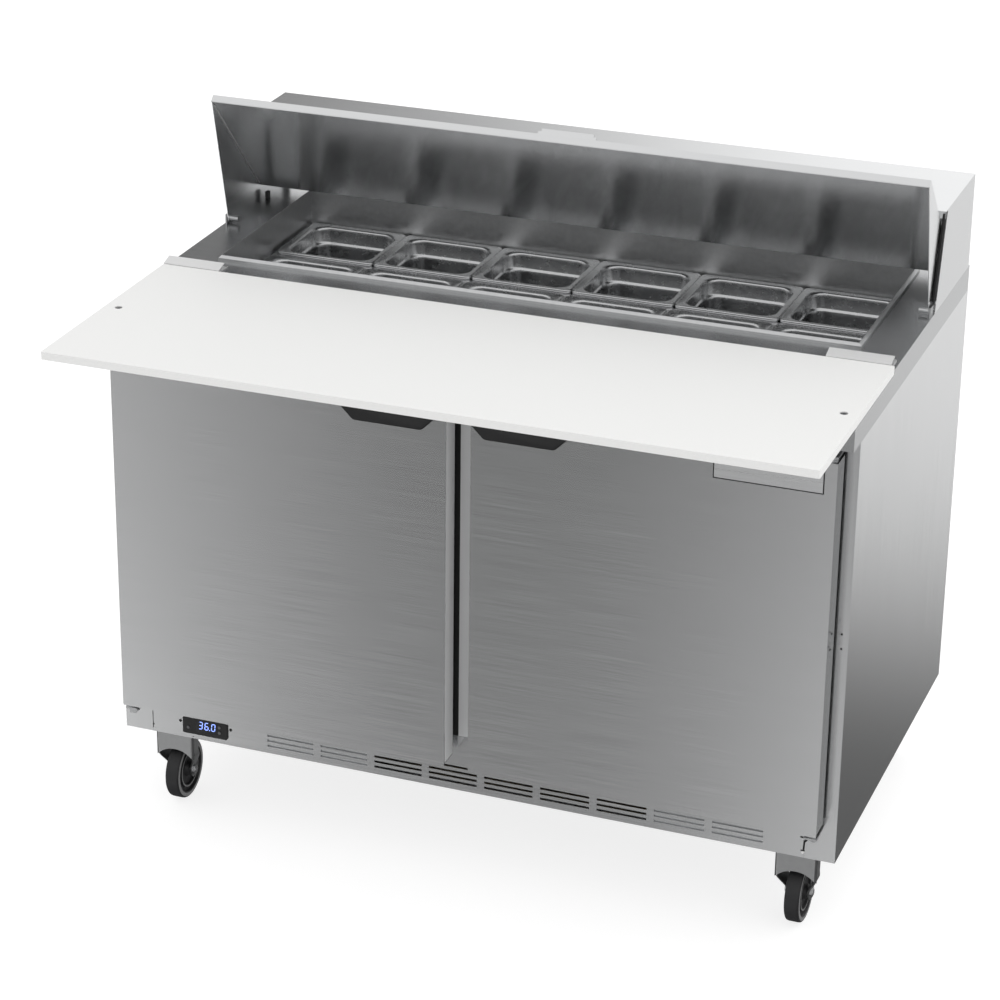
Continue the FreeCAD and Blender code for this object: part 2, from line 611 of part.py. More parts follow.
def fan(centre, radius, blades):
    """Axial fan turning about Y: hub with pitched blades."""
    cx, cy, cz = centre
    hub = cylinder(radius * 0.28, 18.0, (cx, cy - 9, cz), Y_AXIS)
    parts = [hub]
    for i in range(blades):
        blade = box((cx - radius * 0.26, cx + radius * 0.26), (cy - 1, cy + 1),
                    (cz + radius * 0.2, cz + radius))
        blade.rotate(V(cx, cy, cz), Z_AXIS, 28)
        blade.rotate(V(cx, cy, cz), Y_AXIS, 360 * i / blades)
        parts.append(blade)
    return fuse(parts).cut(cylinder(3.0 + RUNNING, 40, (cx, cy - 20, cz), Y_AXIS))


COIL_HALF = 186.0           # half length of the evaporator coil
COIL_Z = (570.0, 705.0)
COIL_D = 34.0
UNIT_FLOOR_Z = CABINET_Z + SHEET
TRAY_Z = (UNIT_FLOOR_Z + 14.2, UNIT_FLOOR_Z + 16.2)
CONDENSER_X = (62.0, 318.0)
CONDENSER_Y = (525.0, 565.0)
CONDENSER_TOP_Z = 405.0
POT = (-200.0, 592.0)       # centre of the compressor
POT_R, POT_H = 82.0, 150.0
POT_BASE_Z = TRAY_Z[1] + 14.0
PIPE_R = 5.0
SHAFT_R = 3.0


def evaporator():
    """Finned coil over a drip tray on the cavity's rear wall, and the fan's motor on its bracket."""
    fx, fy, fz = EVAPORATOR_FAN
    back = HIGH_BACK_Y
    half = COIL_HALF
    plate = box((-half, half), (back - 6, back), COIL_Z)
    fins = [box((x, x + 1.2), (back - COIL_D, back - 6), (COIL_Z[0] + 5, COIL_Z[1] - 5))
            for x in range(-184, 184, 8)]
    tray = box((-half - 4, half + 4), (back - COIL_D - 8, back), (COIL_Z[0] - 10, COIL_Z[0] - 4))
    bracket = box((-half, half), (fy + 19, fy + 22), (fz - 6, fz + 6))
    arms = both_sides(box((half, half + 4), (fy + 19, back), (fz - 6, fz + 6)))
    posts = both_sides(box((half, half + 4), (back - 10, back), (COIL_Z[0] - 4, fz - 6)))
    motor = cylinder(22.0, 9.0, (fx, fy + 10, fz), Y_AXIS).fuse(
        cylinder(SHAFT_R, 24.0, (fx, fy - 12, fz), Y_AXIS))
    return Part.makeCompound([fuse([plate] + fins), fuse([tray] + posts), fuse([bracket] + arms), motor])


def condenser():
    """Finned coil with end plates, a shroud with the fan's opening, and the fan's motor."""
    fx, fy, fz = CONDENSER_FAN
    x0, x1 = CONDENSER_X
    base = TRAY_Z[1]
    coil = [box((x, x + 1.5), CONDENSER_Y, (base, CONDENSER_TOP_Z - 5)) for x in range(70, 311, 9)]
    plates = [box((x, x + 3), (CONDENSER_Y[0] - 3, CONDENSER_Y[1] + 3), (base, CONDENSER_TOP_Z))
              for x in (x0, x1 - 3)]
    mid_y = sum(CONDENSER_Y) / 2
    tubes = [cylinder(4.5, x1 - x0 - 6, (x0 + 2, mid_y, z), X_AXIS) for z in range(180, 400, 28)]
    shroud = box(CONDENSER_X, (CONDENSER_Y[1] + 3, CONDENSER_Y[1] + 10), (base, CONDENSER_TOP_Z))
    shroud = shroud.cut(cylinder(104.0, 20.0, (fx, CONDENSER_Y[1] - 5, fz), Y_AXIS))
    motor = cylinder(30.0, 28.0, (fx, fy + 14, fz), Y_AXIS)
    shaft = cylinder(SHAFT_R, 34.0, (fx, fy - 14, fz), Y_AXIS)
    mast = box((fx - 8, fx + 8), (fy + 22, fy + 36), (base, fz))
    return coil + plates + tubes + [shroud, motor, shaft, mast]


def compressor():
    """Domed pot on four feet, with its pipes."""
    px, py = POT
    top = POT_BASE_Z + POT_H
    pot = cylinder(POT_R, POT_H, (px, py, POT_BASE_Z))
    dome = Part.makeSphere(POT_R, V(px, py, top)).common(
        box((px - 100, px + 100), (py - 100, py + 100), (top, top + 60)))
    legs = [cylinder(10.0, 14.5, (px + sx * 50, py + sy * 50, TRAY_Z[1] - 0.2))
            for sx in (-1, 1) for sy in (-1, 1)]
    suction = cylinder(PIPE_R, 90.0, (px + 70, py - 32, POT_BASE_Z + 100), X_AXIS)
    riser = cylinder(PIPE_R, 120.0, (px + 160, py - 32, TRAY_Z[1]))
    return [pot, dome] + legs + [suction, riser]


def condensing_unit():
    """Compressor and condenser on one tray, clear of the base's stiffening channels."""
    tray = box((-420, 420), (500.0, 688.0), TRAY_Z)
    feet = [box((x, x + 30), (520.0, 560.0), (UNIT_FLOOR_Z, TRAY_Z[0])) for x in (-400, -15, 370)]
    return fuse([tray] + feet + condenser() + compressor())


# ---------------------------------------------------------------- casters
CORNERS = {"front_left": (CASTER_X[0], CASTER_Y[0]), "front_right": (CASTER_X[1], CASTER_Y[0]),
           "rear_left": (CASTER_X[0], CASTER_Y[1]), "rear_right": (CASTER_X[1], CASTER_Y[1])}
KINGPIN_R = 6.0
NUT_H = 6.0


def caster_plates():
    """Four bolted top plates, each with its bearing race and kingpin."""
    under = CABINET_Z - PLATE_T
    pieces = []
    for x, y in CORNERS.values():
        plate = box((x - 46, x + 46), (y - 44, y + 44), (under, CABINET_Z))
        race = cylinder(27.0, under - RACE_Z, (x, y, RACE_Z))
        kingpin = cylinder(KINGPIN_R, 5.0, (x, y, RACE_Z - 5))
        bolts = [Part.makeBox(10, 10, 4, V(x + sx * 38 - 5, y + sy * 36 - 5, under - 4))
                 for sx in (-1, 1) for sy in (-1, 1)]
        pieces.append(fuse([plate, race, kingpin] + bolts))
    return Part.makeCompound(pieces)


def caster_fork(x, y):
    """Swivel horn: crown under the race, a front wall, two legs that lean in, and the axle bolt."""
    top = RACE_Z - GAP
    front, back = HORN_Y
    foot_z = WHEEL_R - 13.0
    crown = box((-HORN_HALF, HORN_HALF), HORN_Y, (top - HORN_T, top))
    wall = box((-HORN_HALF, HORN_HALF), (front, front + HORN_T), (HORN_ARCH_Z, top))
    outline = [(front, top), (front + HORN_DEPTH, top), (front + 14, HORN_KNEE_Z + 4),
               (-TRAIL + 9, WHEEL_R + 4), (-TRAIL + 6, foot_z), (-TRAIL - 6, foot_z),
               (-TRAIL - 10, WHEEL_R + 4), (front, HORN_KNEE_Z)]
    outer = [(HORN_HALF, top), (HORN_HALF, HORN_KNEE_Z), (HORN_FOOT_X, WHEEL_R + 4), (HORN_FOOT_X, foot_z)]
    upright = outer + [(x_out - HORN_T, z) for x_out, z in reversed(outer)]
    leg = prism_y(upright, front, back).common(prism_x(outline, 0.0, HORN_HALF + 1))
    axle = cylinder(AXLE_R, 2 * HORN_FOOT_X, (-HORN_FOOT_X, -TRAIL, WHEEL_R), X_AXIS)
    nut = cylinder(9.0, NUT_H, (HORN_FOOT_X, -TRAIL, WHEEL_R), X_AXIS)
    fork = fuse([crown, wall, axle] + both_sides(leg) + both_sides(nut))
    fork = fork.cut(cylinder(KINGPIN_R + RUNNING, 12.0, (0, 0, top - 8)))
    fork.translate(V(x, y, 0))
    return fork


def caster_wheel(x, y):
    """Solid tyre on a bossed hub, bored for the axle."""
    half = WHEEL_W / 2
    profile = [(AXLE_R + RUNNING, -half - 1.5), (16, -half - 1.5), (18, -half + 2), (34, -half + 2),
               (38, -half), (46, -half), (WHEEL_R, -half + 5), (WHEEL_R, half - 5), (46, half),
               (38, half), (34, half - 2), (18, half - 2), (16, half + 1.5), (AXLE_R + RUNNING, half + 1.5)]
    wire = Part.makePolygon([V(u, 0, r) for r, u in profile + profile[:1]])
    wheel = Part.Face(wire).revolve(V(0, 0, 0), X_AXIS, 360)
    wheel = wheel if wheel.Volume > 0 else wheel.reversed()
    wheel.translate(V(x, y - TRAIL, WHEEL_R))
    return wheel


# ---------------------------------------------------------------- write every node
export("left_side_panel", side_panel(-1))
export("right_side_panel", side_panel(1))
export("back_panel", back_panel())
export("cord_gland", cord_gland())
export("base_pan", base_pan())
export("cabinet_liner", cabinet_liner())
export("insulation", insulation())
export("front_frame", front_frame())
export("grille_panel", grille_panel())
export("worktop", worktop())
export("pan_well", pan_well())
export("divider_bars", divider_bars())
export("cutting_board", cutting_board())
export("board_supports", board_supports())
export("board_clips", board_clips())
export("hood", hood())
export("lid_shell", lid_shell())
export("lid_core", lid_core())
export("lid_liner", lid_liner())
export("badge_plate", badge_plate())
export("hinge_brackets", hinge_brackets())
export("controller", controller())
export("evaporator", evaporator())
export("evaporator_fan", fan(EVAPORATOR_FAN, 52.0, 5))
export("condensing_unit", condensing_unit())
export("condenser_fan", fan(CONDENSER_FAN, 96.0, 5))
export("caster_plates", caster_plates())
for side, sign in (("left", -1), ("right", 1)):
    export(f"{side}_door_skin", door_skin(sign))
    export(f"{side}_door_core", door_core(sign))
    export(f"{side}_door_grip", door_grip(sign))
    export(f"{side}_door_gasket", door_gasket(sign))
    export(f"{side}_shelf", wire_shelf(sign))
for name, (x, z) in BUTTONS.items():
    export(name, push_button(x, z))
for row in ROW_Y:
    for column in range(PAN_COLUMNS):
        export(f"pan_{row}_{column + 1}", food_pan(column, row))
for corner, (x, y) in CORNERS.items():
    export(f"caster_fork_{corner}", caster_fork(x, y))
    export(f"caster_wheel_{corner}", caster_wheel(x, y))
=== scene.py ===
import math
import bmesh
import bpy
from mathutils import Matrix, Vector


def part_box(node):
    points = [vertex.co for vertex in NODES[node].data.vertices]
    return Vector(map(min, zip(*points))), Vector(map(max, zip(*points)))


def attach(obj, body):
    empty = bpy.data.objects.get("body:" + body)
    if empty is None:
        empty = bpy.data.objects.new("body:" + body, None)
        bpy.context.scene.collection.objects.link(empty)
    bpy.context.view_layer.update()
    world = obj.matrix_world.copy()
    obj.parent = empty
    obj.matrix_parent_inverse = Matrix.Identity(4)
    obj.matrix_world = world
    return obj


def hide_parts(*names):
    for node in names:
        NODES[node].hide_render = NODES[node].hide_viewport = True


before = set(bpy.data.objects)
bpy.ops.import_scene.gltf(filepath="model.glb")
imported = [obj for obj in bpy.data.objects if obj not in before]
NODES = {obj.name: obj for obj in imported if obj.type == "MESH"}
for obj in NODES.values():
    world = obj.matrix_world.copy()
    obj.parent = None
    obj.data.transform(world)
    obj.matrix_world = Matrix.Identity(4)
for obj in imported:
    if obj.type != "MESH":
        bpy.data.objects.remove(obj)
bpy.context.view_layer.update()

SCENE = bpy.context.scene
MM = 0.001


# ---------------------------------------------------------------- materials
def material(name):
    """New node material, with its node tree and its shader."""
    mat = bpy.data.materials.new(name)
    mat.use_nodes = True
    tree = mat.node_tree
    shader = tree.nodes["Principled BSDF"]
    return mat, tree, shader


def object_noise(tree, scale, detail=4.0, roughness=0.55):
    """Noise in the piece's own coordinates, stretched by scale along each axis."""
    coord = tree.nodes.new("ShaderNodeTexCoord")
    mapping = tree.nodes.new("ShaderNodeMapping")
    noise = tree.nodes.new("ShaderNodeTexNoise")
    mapping.inputs["Scale"].default_value = scale
    noise.inputs["Scale"].default_value = 1.0
    noise.inputs["Detail"].default_value = detail
    noise.inputs["Roughness"].default_value = roughness
    tree.links.new(coord.outputs["Object"], mapping.inputs["Vector"])
    tree.links.new(mapping.outputs["Vector"], noise.inputs["Vector"])
    return noise.outputs["Fac"]


def remap(tree, value, low, high):
    """Spread a 0.3..0.7 noise value over low..high."""
    node = tree.nodes.new("ShaderNodeMapRange")
    node.inputs["From Min"].default_value = 0.3
    node.inputs["From Max"].default_value = 0.7
    node.inputs["To Min"].default_value = low
    node.inputs["To Max"].default_value = high
    tree.links.new(value, node.inputs["Value"])
    return node.outputs["Result"]


def tint(tree, value, dark, light):
    """Mix two colours by a 0.3..0.7 noise value."""
    mix = tree.nodes.new("ShaderNodeMix")
    mix.data_type = "RGBA"
    mix.inputs["A"].default_value = (*dark, 1.0)
    mix.inputs["B"].default_value = (*light, 1.0)
    tree.links.new(remap(tree, value, 0.0, 1.0), mix.inputs["Factor"])
    return mix.outputs["Result"]


def finish_surface(name, colour, roughness, metal, scale, spread=0.05, rough_spread=0.15,
                   bump=0.0, bump_mm=0.05, detail=4.0):
    """Material whose colour, gloss and relief vary with one stretched noise."""
    mat, tree, shader = material(name)
    value = object_noise(tree, scale, detail)
    dark = tuple(c * (1 - spread) for c in colour)
    light = tuple(min(1.0, c * (1 + spread)) for c in colour)
    tree.links.new(tint(tree, value, dark, light), shader.inputs["Base Color"])
    tree.links.new(remap(tree, value, roughness * (1 - rough_spread), roughness * (1 + rough_spread)),
                   shader.inputs["Roughness"])
    shader.inputs["Metallic"].default_value = metal
    if bump:
        relief = tree.nodes.new("ShaderNodeBump")
        relief.inputs["Strength"].default_value = bump
        relief.inputs["Distance"].default_value = bump_mm * MM
        tree.links.new(value, relief.inputs["Height"])
        tree.links.new(relief.outputs["Normal"], shader.inputs["Normal"])
    return mat


def brushed(name, colour, roughness, axis, spread=0.035, bump=0.04):
    """Brushed sheet: fine streaks along one axis ("x", "y" or "z")."""
    fine, along = 900.0, 6.0
    scale = [fine, fine, fine]
    scale["xyz".index(axis)] = along
    return finish_surface(name, colour, roughness, 1.0, tuple(scale), spread, 0.12, bump, 0.02, 3.0)


STEEL = (0.66, 0.665, 0.67)
M = {
    "door": brushed("brushed_door_steel", STEEL, 0.2, "x", 0.012, 0.012),
    "panel": brushed("brushed_panel_steel", STEEL, 0.22, "z", 0.015, 0.015),
    "kick": brushed("brushed_kick_steel", STEEL, 0.2, "x", 0.012, 0.012),
    "worktop": brushed("brushed_worktop_steel", (0.48, 0.485, 0.49), 0.24, "x", 0.02, 0.02),
    "hood": brushed("brushed_hood_steel", STEEL, 0.24, "x", 0.012, 0.012),
    "lid": finish_surface("satin_lid_steel", (0.86, 0.865, 0.87), 0.2, 1.0, (260, 260, 260), 0.06, 0.15,
                          0.03, 0.03),
    "well": finish_surface("satin_well_steel", (0.56, 0.565, 0.57), 0.36, 1.0, (120, 120, 120), 0.05,
                           0.15, 0.05, 0.05),
    "shell": brushed("brushed_shell_steel", (0.7, 0.705, 0.71), 0.22, "x", 0.012, 0.012),
    # painted light: a paler matt copy of the stainless, so the door edges and the centre post face read
    # lighter
    "edge": finish_surface("edge_steel_painted_light", (0.62, 0.622, 0.626), 0.35, 0.0, (60, 60, 8), 0.02, 0.1),
    "clip": brushed("brushed_clip_steel", (0.8, 0.8, 0.8), 0.42, "x", 0.015, 0.015),
    "bright": finish_surface("bright_steel", (0.72, 0.72, 0.73), 0.14, 1.0, (40, 40, 40), 0.03),
    "pan": finish_surface("pan_steel", (0.54, 0.545, 0.55), 0.25, 1.0, (60, 60, 90), 0.05, 0.2,
                          0.05, 0.05),
    "galvanised": finish_surface("galvanised_sheet", (0.52, 0.53, 0.54), 0.42, 1.0, (70, 70, 70), 0.12,
                                 0.25, 0.06, 0.05, 2.0),
    "liner": finish_surface("liner_aluminium", (0.78, 0.79, 0.8), 0.38, 1.0, (25, 25, 140), 0.04, 0.15,
                            0.1, 0.1),
    "foam": finish_surface("foam_filling", (0.72, 0.6, 0.36), 0.9, 0.0, (260, 260, 260), 0.12, 0.05,
                           0.5, 0.5),
    "board": finish_surface("board_poly", (0.86, 0.86, 0.85), 0.5, 0.0, (340, 340, 340), 0.012, 0.1,
                            0.12, 0.06),
    "plastic": finish_surface("black_plastic", (0.007, 0.007, 0.0075), 0.5, 0.0, (420, 420, 420), 0.2,
                              0.15, 0.12, 0.05),
    "rubber": finish_surface("gasket_rubber", (0.016, 0.016, 0.016), 0.62, 0.0, (300, 300, 300), 0.25,
                             0.1, 0.15, 0.05),
    "badge": brushed("badge_aluminium", (0.72, 0.725, 0.73), 0.3, "x"),
    "button": finish_surface("button_plastic", (0.1, 0.1, 0.105), 0.45, 0.0, (500, 500, 500), 0.05,
                             0.1, 0.1, 0.03),
    "coil": finish_surface("coil_aluminium", (0.8, 0.8, 0.81), 0.34, 1.0, (90, 90, 20), 0.06),
    "fan": finish_surface("fan_aluminium", (0.66, 0.67, 0.68), 0.36, 1.0, (60, 60, 60), 0.05),
    "unit": finish_surface("unit_black", (0.02, 0.02, 0.021), 0.4, 0.0, (160, 160, 160), 0.25, 0.15,
                           0.2, 0.1),
    "wire": finish_surface("shelf_coating", (0.78, 0.79, 0.8), 0.35, 0.0, (220, 220, 220), 0.03, 0.1),
    # painted shade: a darker copy of the caster zinc for the horn's front wall and crown
    "horn": finish_surface("horn_zinc_painted_shade", (0.36, 0.363, 0.366), 0.36, 1.0, (90, 90, 90), 0.05, 0.15,
                           0.04, 0.05),
    "tyre_side": finish_surface("caster_tyre_side", (0.19, 0.19, 0.192), 0.45, 0.0, (240, 240, 240),
                                0.1, 0.15, 0.05, 0.05),
    "zinc": finish_surface("caster_zinc", (0.5, 0.505, 0.51), 0.34, 1.0, (90, 90, 90), 0.1, 0.2,
                           0.08, 0.05),
    "tyre": finish_surface("caster_tyre", (0.012, 0.012, 0.013), 0.55, 0.0, (240, 240, 240), 0.2, 0.15,
                           0.2, 0.08),
    "glass": finish_surface("display_window", (0.02, 0.021, 0.024), 0.12, 0.0, (30, 30, 30), 0.2),
    "dark": finish_surface("dark_recess", (0.008, 0.008, 0.008), 0.75, 0.0, (200, 200, 200), 0.3),
}


def glowing(name, colour, strength):
    """Self-lit finish for the display's digits."""
    mat, tree, shader = material(name)
    value = object_noise(tree, (300, 300, 300))
    shade = tint(tree, value, tuple(c * 0.9 for c in colour), colour)
    tree.links.new(shade, shader.inputs["Base Color"])
    tree.links.new(shade, shader.inputs["Emission Color"])
    shader.inputs["Emission Strength"].default_value = strength
    return mat


M["digit"] = glowing("display_digit", (0.26, 0.38, 1.0), 1.5)

NODE_LOOKS = {
    "left_side_panel": "panel", "right_side_panel": "panel", "back_panel": "galvanised",
    "cord_gland": "plastic", "base_pan": "galvanised", "cabinet_liner": "liner", "insulation": "foam",
    "front_frame": "panel", "grille_panel": "kick", "worktop": "worktop", "pan_well": "well",
    "divider_bars": "bright", "cutting_board": "board", "board_supports": "bright",
    "board_clips": "clip", "hood": "hood", "lid_shell": "shell", "lid_core": "foam",
    "lid_liner": "lid", "badge_plate": "badge", "hinge_brackets": "zinc", "controller": "plastic",
    "evaporator": "coil", "evaporator_fan": "fan", "condensing_unit": "unit", "condenser_fan": "fan",
    "caster_plates": "zinc", "left_shelf": "wire", "right_shelf": "wire",
    "left_door_skin": "door", "right_door_skin": "door", "left_door_core": "foam",
    "right_door_core": "foam", "left_door_grip": "plastic", "right_door_grip": "plastic",
    "left_door_gasket": "rubber", "right_door_gasket": "rubber",
    "menu_button": "button", "up_button": "button", "down_button": "button",
}
for node_name, node in NODES.items():
    if node_name.startswith("pan_") and node_name != "pan_well":
        look = "pan"
    elif node_name.startswith("caster_fork"):
        look = "zinc"
    elif node_name.startswith("caster_wheel"):
        look = "tyre"
    else:
        look = NODE_LOOKS[node_name]
    node.data.materials.clear()
    node.data.materials.append(M[look])


# ---------------------------------------------------------------- mesh tools
EDGE_ANGLE = 40.0


def piece(name, verts, faces, look, body, slot, sharp=35.0):
    """Mesh object in the row frame that rides on a body."""
    mesh = bpy.data.meshes.new(name)
    mesh.from_pydata([tuple(v) for v in verts], [], faces)
    work = bmesh.new()
    work.from_mesh(mesh)
    bmesh.ops.remove_doubles(work, verts=work.verts, dist=1e-6)
    bmesh.ops.recalc_face_normals(work, faces=work.faces)
    work.to_mesh(mesh)
    work.free()
    for poly in mesh.polygons:
        poly.use_smooth = True
    mesh.set_sharp_from_angle(angle=math.radians(sharp))
    obj = bpy.data.objects.new(name, mesh)
    SCENE.collection.objects.link(obj)
    mesh.materials.append(M[look])
    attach(obj, body)
    return obj


def bevel(obj, width_mm, segments=2):
    """Round every edge that turns by more than EDGE_ANGLE."""
    mod = obj.modifiers.new("edge_radius", "BEVEL")
    mod.width = width_mm * MM
    mod.segments = segments
    mod.limit_method = "ANGLE"
    mod.angle_limit = math.radians(EDGE_ANGLE)


def ring_loop(centre, width, depth, radius, z, steps=6):
    """Horizontal rounded-rectangle loop, in metres."""
    cx, cy = centre
    hx, hy = width / 2, depth / 2
    points = []
    for sx, sy, start in ((1, 1, 0), (-1, 1, 90), (-1, -1, 180), (1, -1, 270)):
        for i in range(steps + 1):
            a = math.radians(start + 90.0 * i / steps)
            points.append(Vector((cx + sx * (hx - radius) + radius * math.cos(a),
                                  cy + sy * (hy - radius) + radius * math.sin(a), z)))
    return points


def skin(loops, cap_first=False, cap_last=False):
    """Verts and faces of a surface through loops of equal length."""
    n = len(loops[0])
    verts = [p for loop in loops for p in loop]
    faces = []
    for k in range(len(loops) - 1):
        for i in range(n):
            j = (i + 1) % n
            faces.append((k * n + i, k * n + j, (k + 1) * n + j, (k + 1) * n + i))
    if cap_first:
        faces.append(tuple(range(n)))
    if cap_last:
        faces.append(tuple((len(loops) - 1) * n + i for i in range(n)))
    return verts, faces


def turned(profile, centre, axis, steps=40):
    """Closed (along, radius) profile turned about an axis through centre."""
    c = Vector(centre)
    a = Vector(axis).normalized()
    side = a.cross(Vector((0, 0, 1)))
    side = side.normalized() if side.length > 1e-3 else Vector((1, 0, 0))
    other = a.cross(side)
    loops = []
    for i in range(steps):
        t = 2 * math.pi * i / steps
        out = side * math.cos(t) + other * math.sin(t)
        loops.append([c + a * along + out * radius for along, radius in profile])
    n = len(profile)
    verts = [p for loop in loops for p in loop]
    faces = []
    for i in range(steps):
        j = (i + 1) % steps
        for k in range(n):
            m = (k + 1) % n
            faces.append((i * n + k, i * n + m, j * n + m, j * n + k))
    return verts, faces


def plug(profile, centre, axis, steps=32):
    """Open (along, radius) profile that starts and ends on the axis, turned about it."""
    c = Vector(centre)
    a = Vector(axis).normalized()
    side = a.cross(Vector((0, 0, 1)))
    side = side.normalized() if side.length > 1e-3 else Vector((1, 0, 0))
    other = a.cross(side)
    loops = []
    for along, radius in profile:
        loops.append([c + a * along + (side * math.cos(2 * math.pi * i / steps)
                                       + other * math.sin(2 * math.pi * i / steps)) * radius
                      for i in range(steps)])
    return skin(loops, True, True)


def slab(corners, thick):
    """Prism between an outline and the same outline moved by thick."""
    move = Vector(thick)
    low = [Vector(p) for p in corners]
    return skin([low, [p + move for p in low]], True, True)


def block(lo, hi):
    """Box between two corners."""
    (x0, y0, z0), (x1, y1, z1) = lo, hi
    return slab([(x0, y0, z0), (x1, y0, z0), (x1, y1, z0), (x0, y1, z0)], (0, 0, z1 - z0))


def joined(parts):
    """Several (verts, faces) pairs as one."""
    verts, faces = [], []
    for v, f in parts:
        base = len(verts)
        verts += v
        faces += [tuple(i + base for i in face) for face in f]
    return verts, faces


def fillet_outline(points, radii, steps=5):
    """2-D outline with each corner rounded by its own radius."""
    out = []
    n = len(points)
    for i in range(n):
        p = Vector(points[i])
        r = radii[i] if isinstance(radii, (list, tuple)) else radii
        if r <= 0:
            out.append(p)
            continue
        a = (Vector(points[i - 1]) - p).normalized()
        b = (Vector(points[(i + 1) % n]) - p).normalized()
        half = a.angle(b) / 2
        cut = r / math.tan(half)
        centre = p + (a + b).normalized() * (r / math.sin(half))
        start = (p + a * cut) - centre
        end = (p + b * cut) - centre
        sweep = start.angle_signed(end)
        for k in range(steps + 1):
            t = -sweep * k / steps
            out.append(centre + Vector((start.x * math.cos(t) - start.y * math.sin(t),
                                        start.x * math.sin(t) + start.y * math.cos(t))))
    return out


def hex_nut(centre, axis, across, height, body, name):
    """Hexagon nut with a chamfered top."""
    r = across / 2 / math.cos(math.radians(30))
    profile = [(0.0, r), (height * 0.8, r), (height, r * 0.84)]
    verts, faces = plug(profile, centre, axis, 6)
    piece(name, verts, faces, "zinc", body, "bright_steel", 20.0)


def screw(centre, axis, radius, body, name, look, slot):
    """Low domed screw head with a shallow dimple in the middle."""
    profile = [(-0.2 * MM, radius), (0.2 * radius, radius), (0.42 * radius, radius * 0.8),
               (0.52 * radius, radius * 0.42), (0.38 * radius, radius * 0.3), (0.36 * radius, radius * 0.02)]
    verts, faces = plug(profile, centre, axis, 20)
    piece(name, verts, faces, look, body, slot, 40.0)


# ---------------------------------------------------------------- reference place
FACE_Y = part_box("right_side_panel")[0].y          # cabinet front face


def at(x, y, z):
    """Millimetres from the centre line, the cabinet's front face and the floor."""
    return Vector((x * MM, FACE_Y + y * MM, z * MM))


# ---------------------------------------------------------------- rounded edges of the CAD nodes
EDGE_RADII = {
    # millimetres
    "left_side_panel": 1.0, "right_side_panel": 1.0, "worktop": 1.6, "hood": 1.2, "grille_panel": 0.5,
    "left_door_skin": 2.2, "right_door_skin": 2.2, "cutting_board": 1.4, "lid_shell": 0.5,
    "board_clips": 0.5, "badge_plate": 0.3, "front_frame": 0.4,
}
for node_name, width in EDGE_RADII.items():
    bevel(NODES[node_name], width, 3)


# ---------------------------------------------------------------- food pans
PAN_PROFILE = (
    # inset from the flange edge, depth below the top, corner radius
    (0.9, 5.0, 8.4), (0.3, 4.4, 9.0), (0.0, 3.4, 9.2), (0.0, 1.7, 9.2), (0.3, 0.7, 9.0), (1.0, 0.15, 8.6),
    (2.0, 0.0, 8.0), (3.2, 0.25, 8.0), (4.6, 0.75, 9.0), (8.2, 1.0, 21.0), (9.4, 1.35, 24.5),
    (10.4, 2.3, 26.5), (11.0, 4.0, 27.0), (11.4, 8.0, 27.0), (12.2, 27.0, 26.5), (12.9, 28.8, 26.0),
    (14.0, 30.0, 25.4), (14.6, 31.6, 25.0), (15.0, 36.0, 25.0), (18.4, 84.0, 24.0), (19.2, 90.0, 23.5),
    (21.0, 94.6, 22.5), (24.4, 97.6, 20.5), (29.0, 98.8, 17.5), (34.0, 99.1, 14.0),
)


def food_pan(node_name):
    """Drawn pan: a rounded flange, a stacking step and a tapered well."""
    lo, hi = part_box(node_name)
    width, depth = hi.x - lo.x, hi.y - lo.y
    centre = ((lo.x + hi.x) / 2, (lo.y + hi.y) / 2)
    loops = [ring_loop(centre, width - 2 * inset * MM, depth - 2 * inset * MM, radius * MM,
                       hi.z - drop * MM, 7)
             for inset, drop, radius in PAN_PROFILE]
    verts, faces = skin(loops, False, True)
    obj = piece(node_name + "_body", verts, faces, "pan", node_name, "pan_steel", 50.0)
    wall = obj.modifiers.new("sheet", "SOLIDIFY")
    wall.thickness = 0.8 * MM
    wall.offset = 0.0
    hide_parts(node_name)


for row in ("front", "rear"):
    for column in range(1, 7):
        food_pan(f"pan_{row}_{column}")


# ---------------------------------------------------------------- door pulls
PULL_SHIFT = {"left": 0.0, "right": -4.0 * MM}
PULL_HALF_LOW = 56.5 * MM      # half the width along the lower edge
PULL_WALL = 3.0 * MM


def door_pull(side):
    """Moulded hood pull: a flat front with round corners, and the hollow to cut out of it from below."""
    lo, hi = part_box(f"{side}_door_grip")
    cx = (lo.x + hi.x) / 2 + PULL_SHIFT[side]
    half_low = PULL_HALF_LOW
    half_high = (hi.x - lo.x) / 2
    flare_z = lo.z + (half_high - half_low)

    def outline(inset, radius, z_low):
        """Shape of the pull seen from the front, shrunk by inset."""
        shoulder_z = flare_z + (z_low - lo.z) * 0.2
        shape = [(cx - half_low + inset * 0.6, z_low), (cx + half_low - inset * 0.6, z_low),
                 (cx + half_high - inset, shoulder_z), (cx + half_high - inset, hi.z - inset),
                 (cx - half_high + inset, hi.z - inset), (cx - half_high + inset, shoulder_z)]
        return fillet_outline(shape, [radius, radius, radius, 3 * MM, 3 * MM, radius])

    def loop(inset, radius, z_low, y):
        """The same outline at one depth."""
        return [Vector((p.x, y, p.y)) for p in outline(inset, radius, z_low)]

    front = lo.y
    outer = [loop(0.0, 10 * MM, lo.z, hi.y), loop(0.0, 10 * MM, lo.z, front + 2.2 * MM),
             loop(0.5 * MM, 9.6 * MM, lo.z + 0.5 * MM, front + 0.7 * MM),
             loop(1.6 * MM, 9 * MM, lo.z + 1.6 * MM, front)]
    verts, faces = skin(outer, True, True)
    body = piece(f"{side}_door_pull", verts, faces, "plastic", f"{side}_door", "black_plastic", 40.0)
    hollow = [loop(PULL_WALL, 4 * MM, lo.z - 8 * MM, y) for y in (hi.y + 2 * MM, front + PULL_WALL)]
    return body, hollow


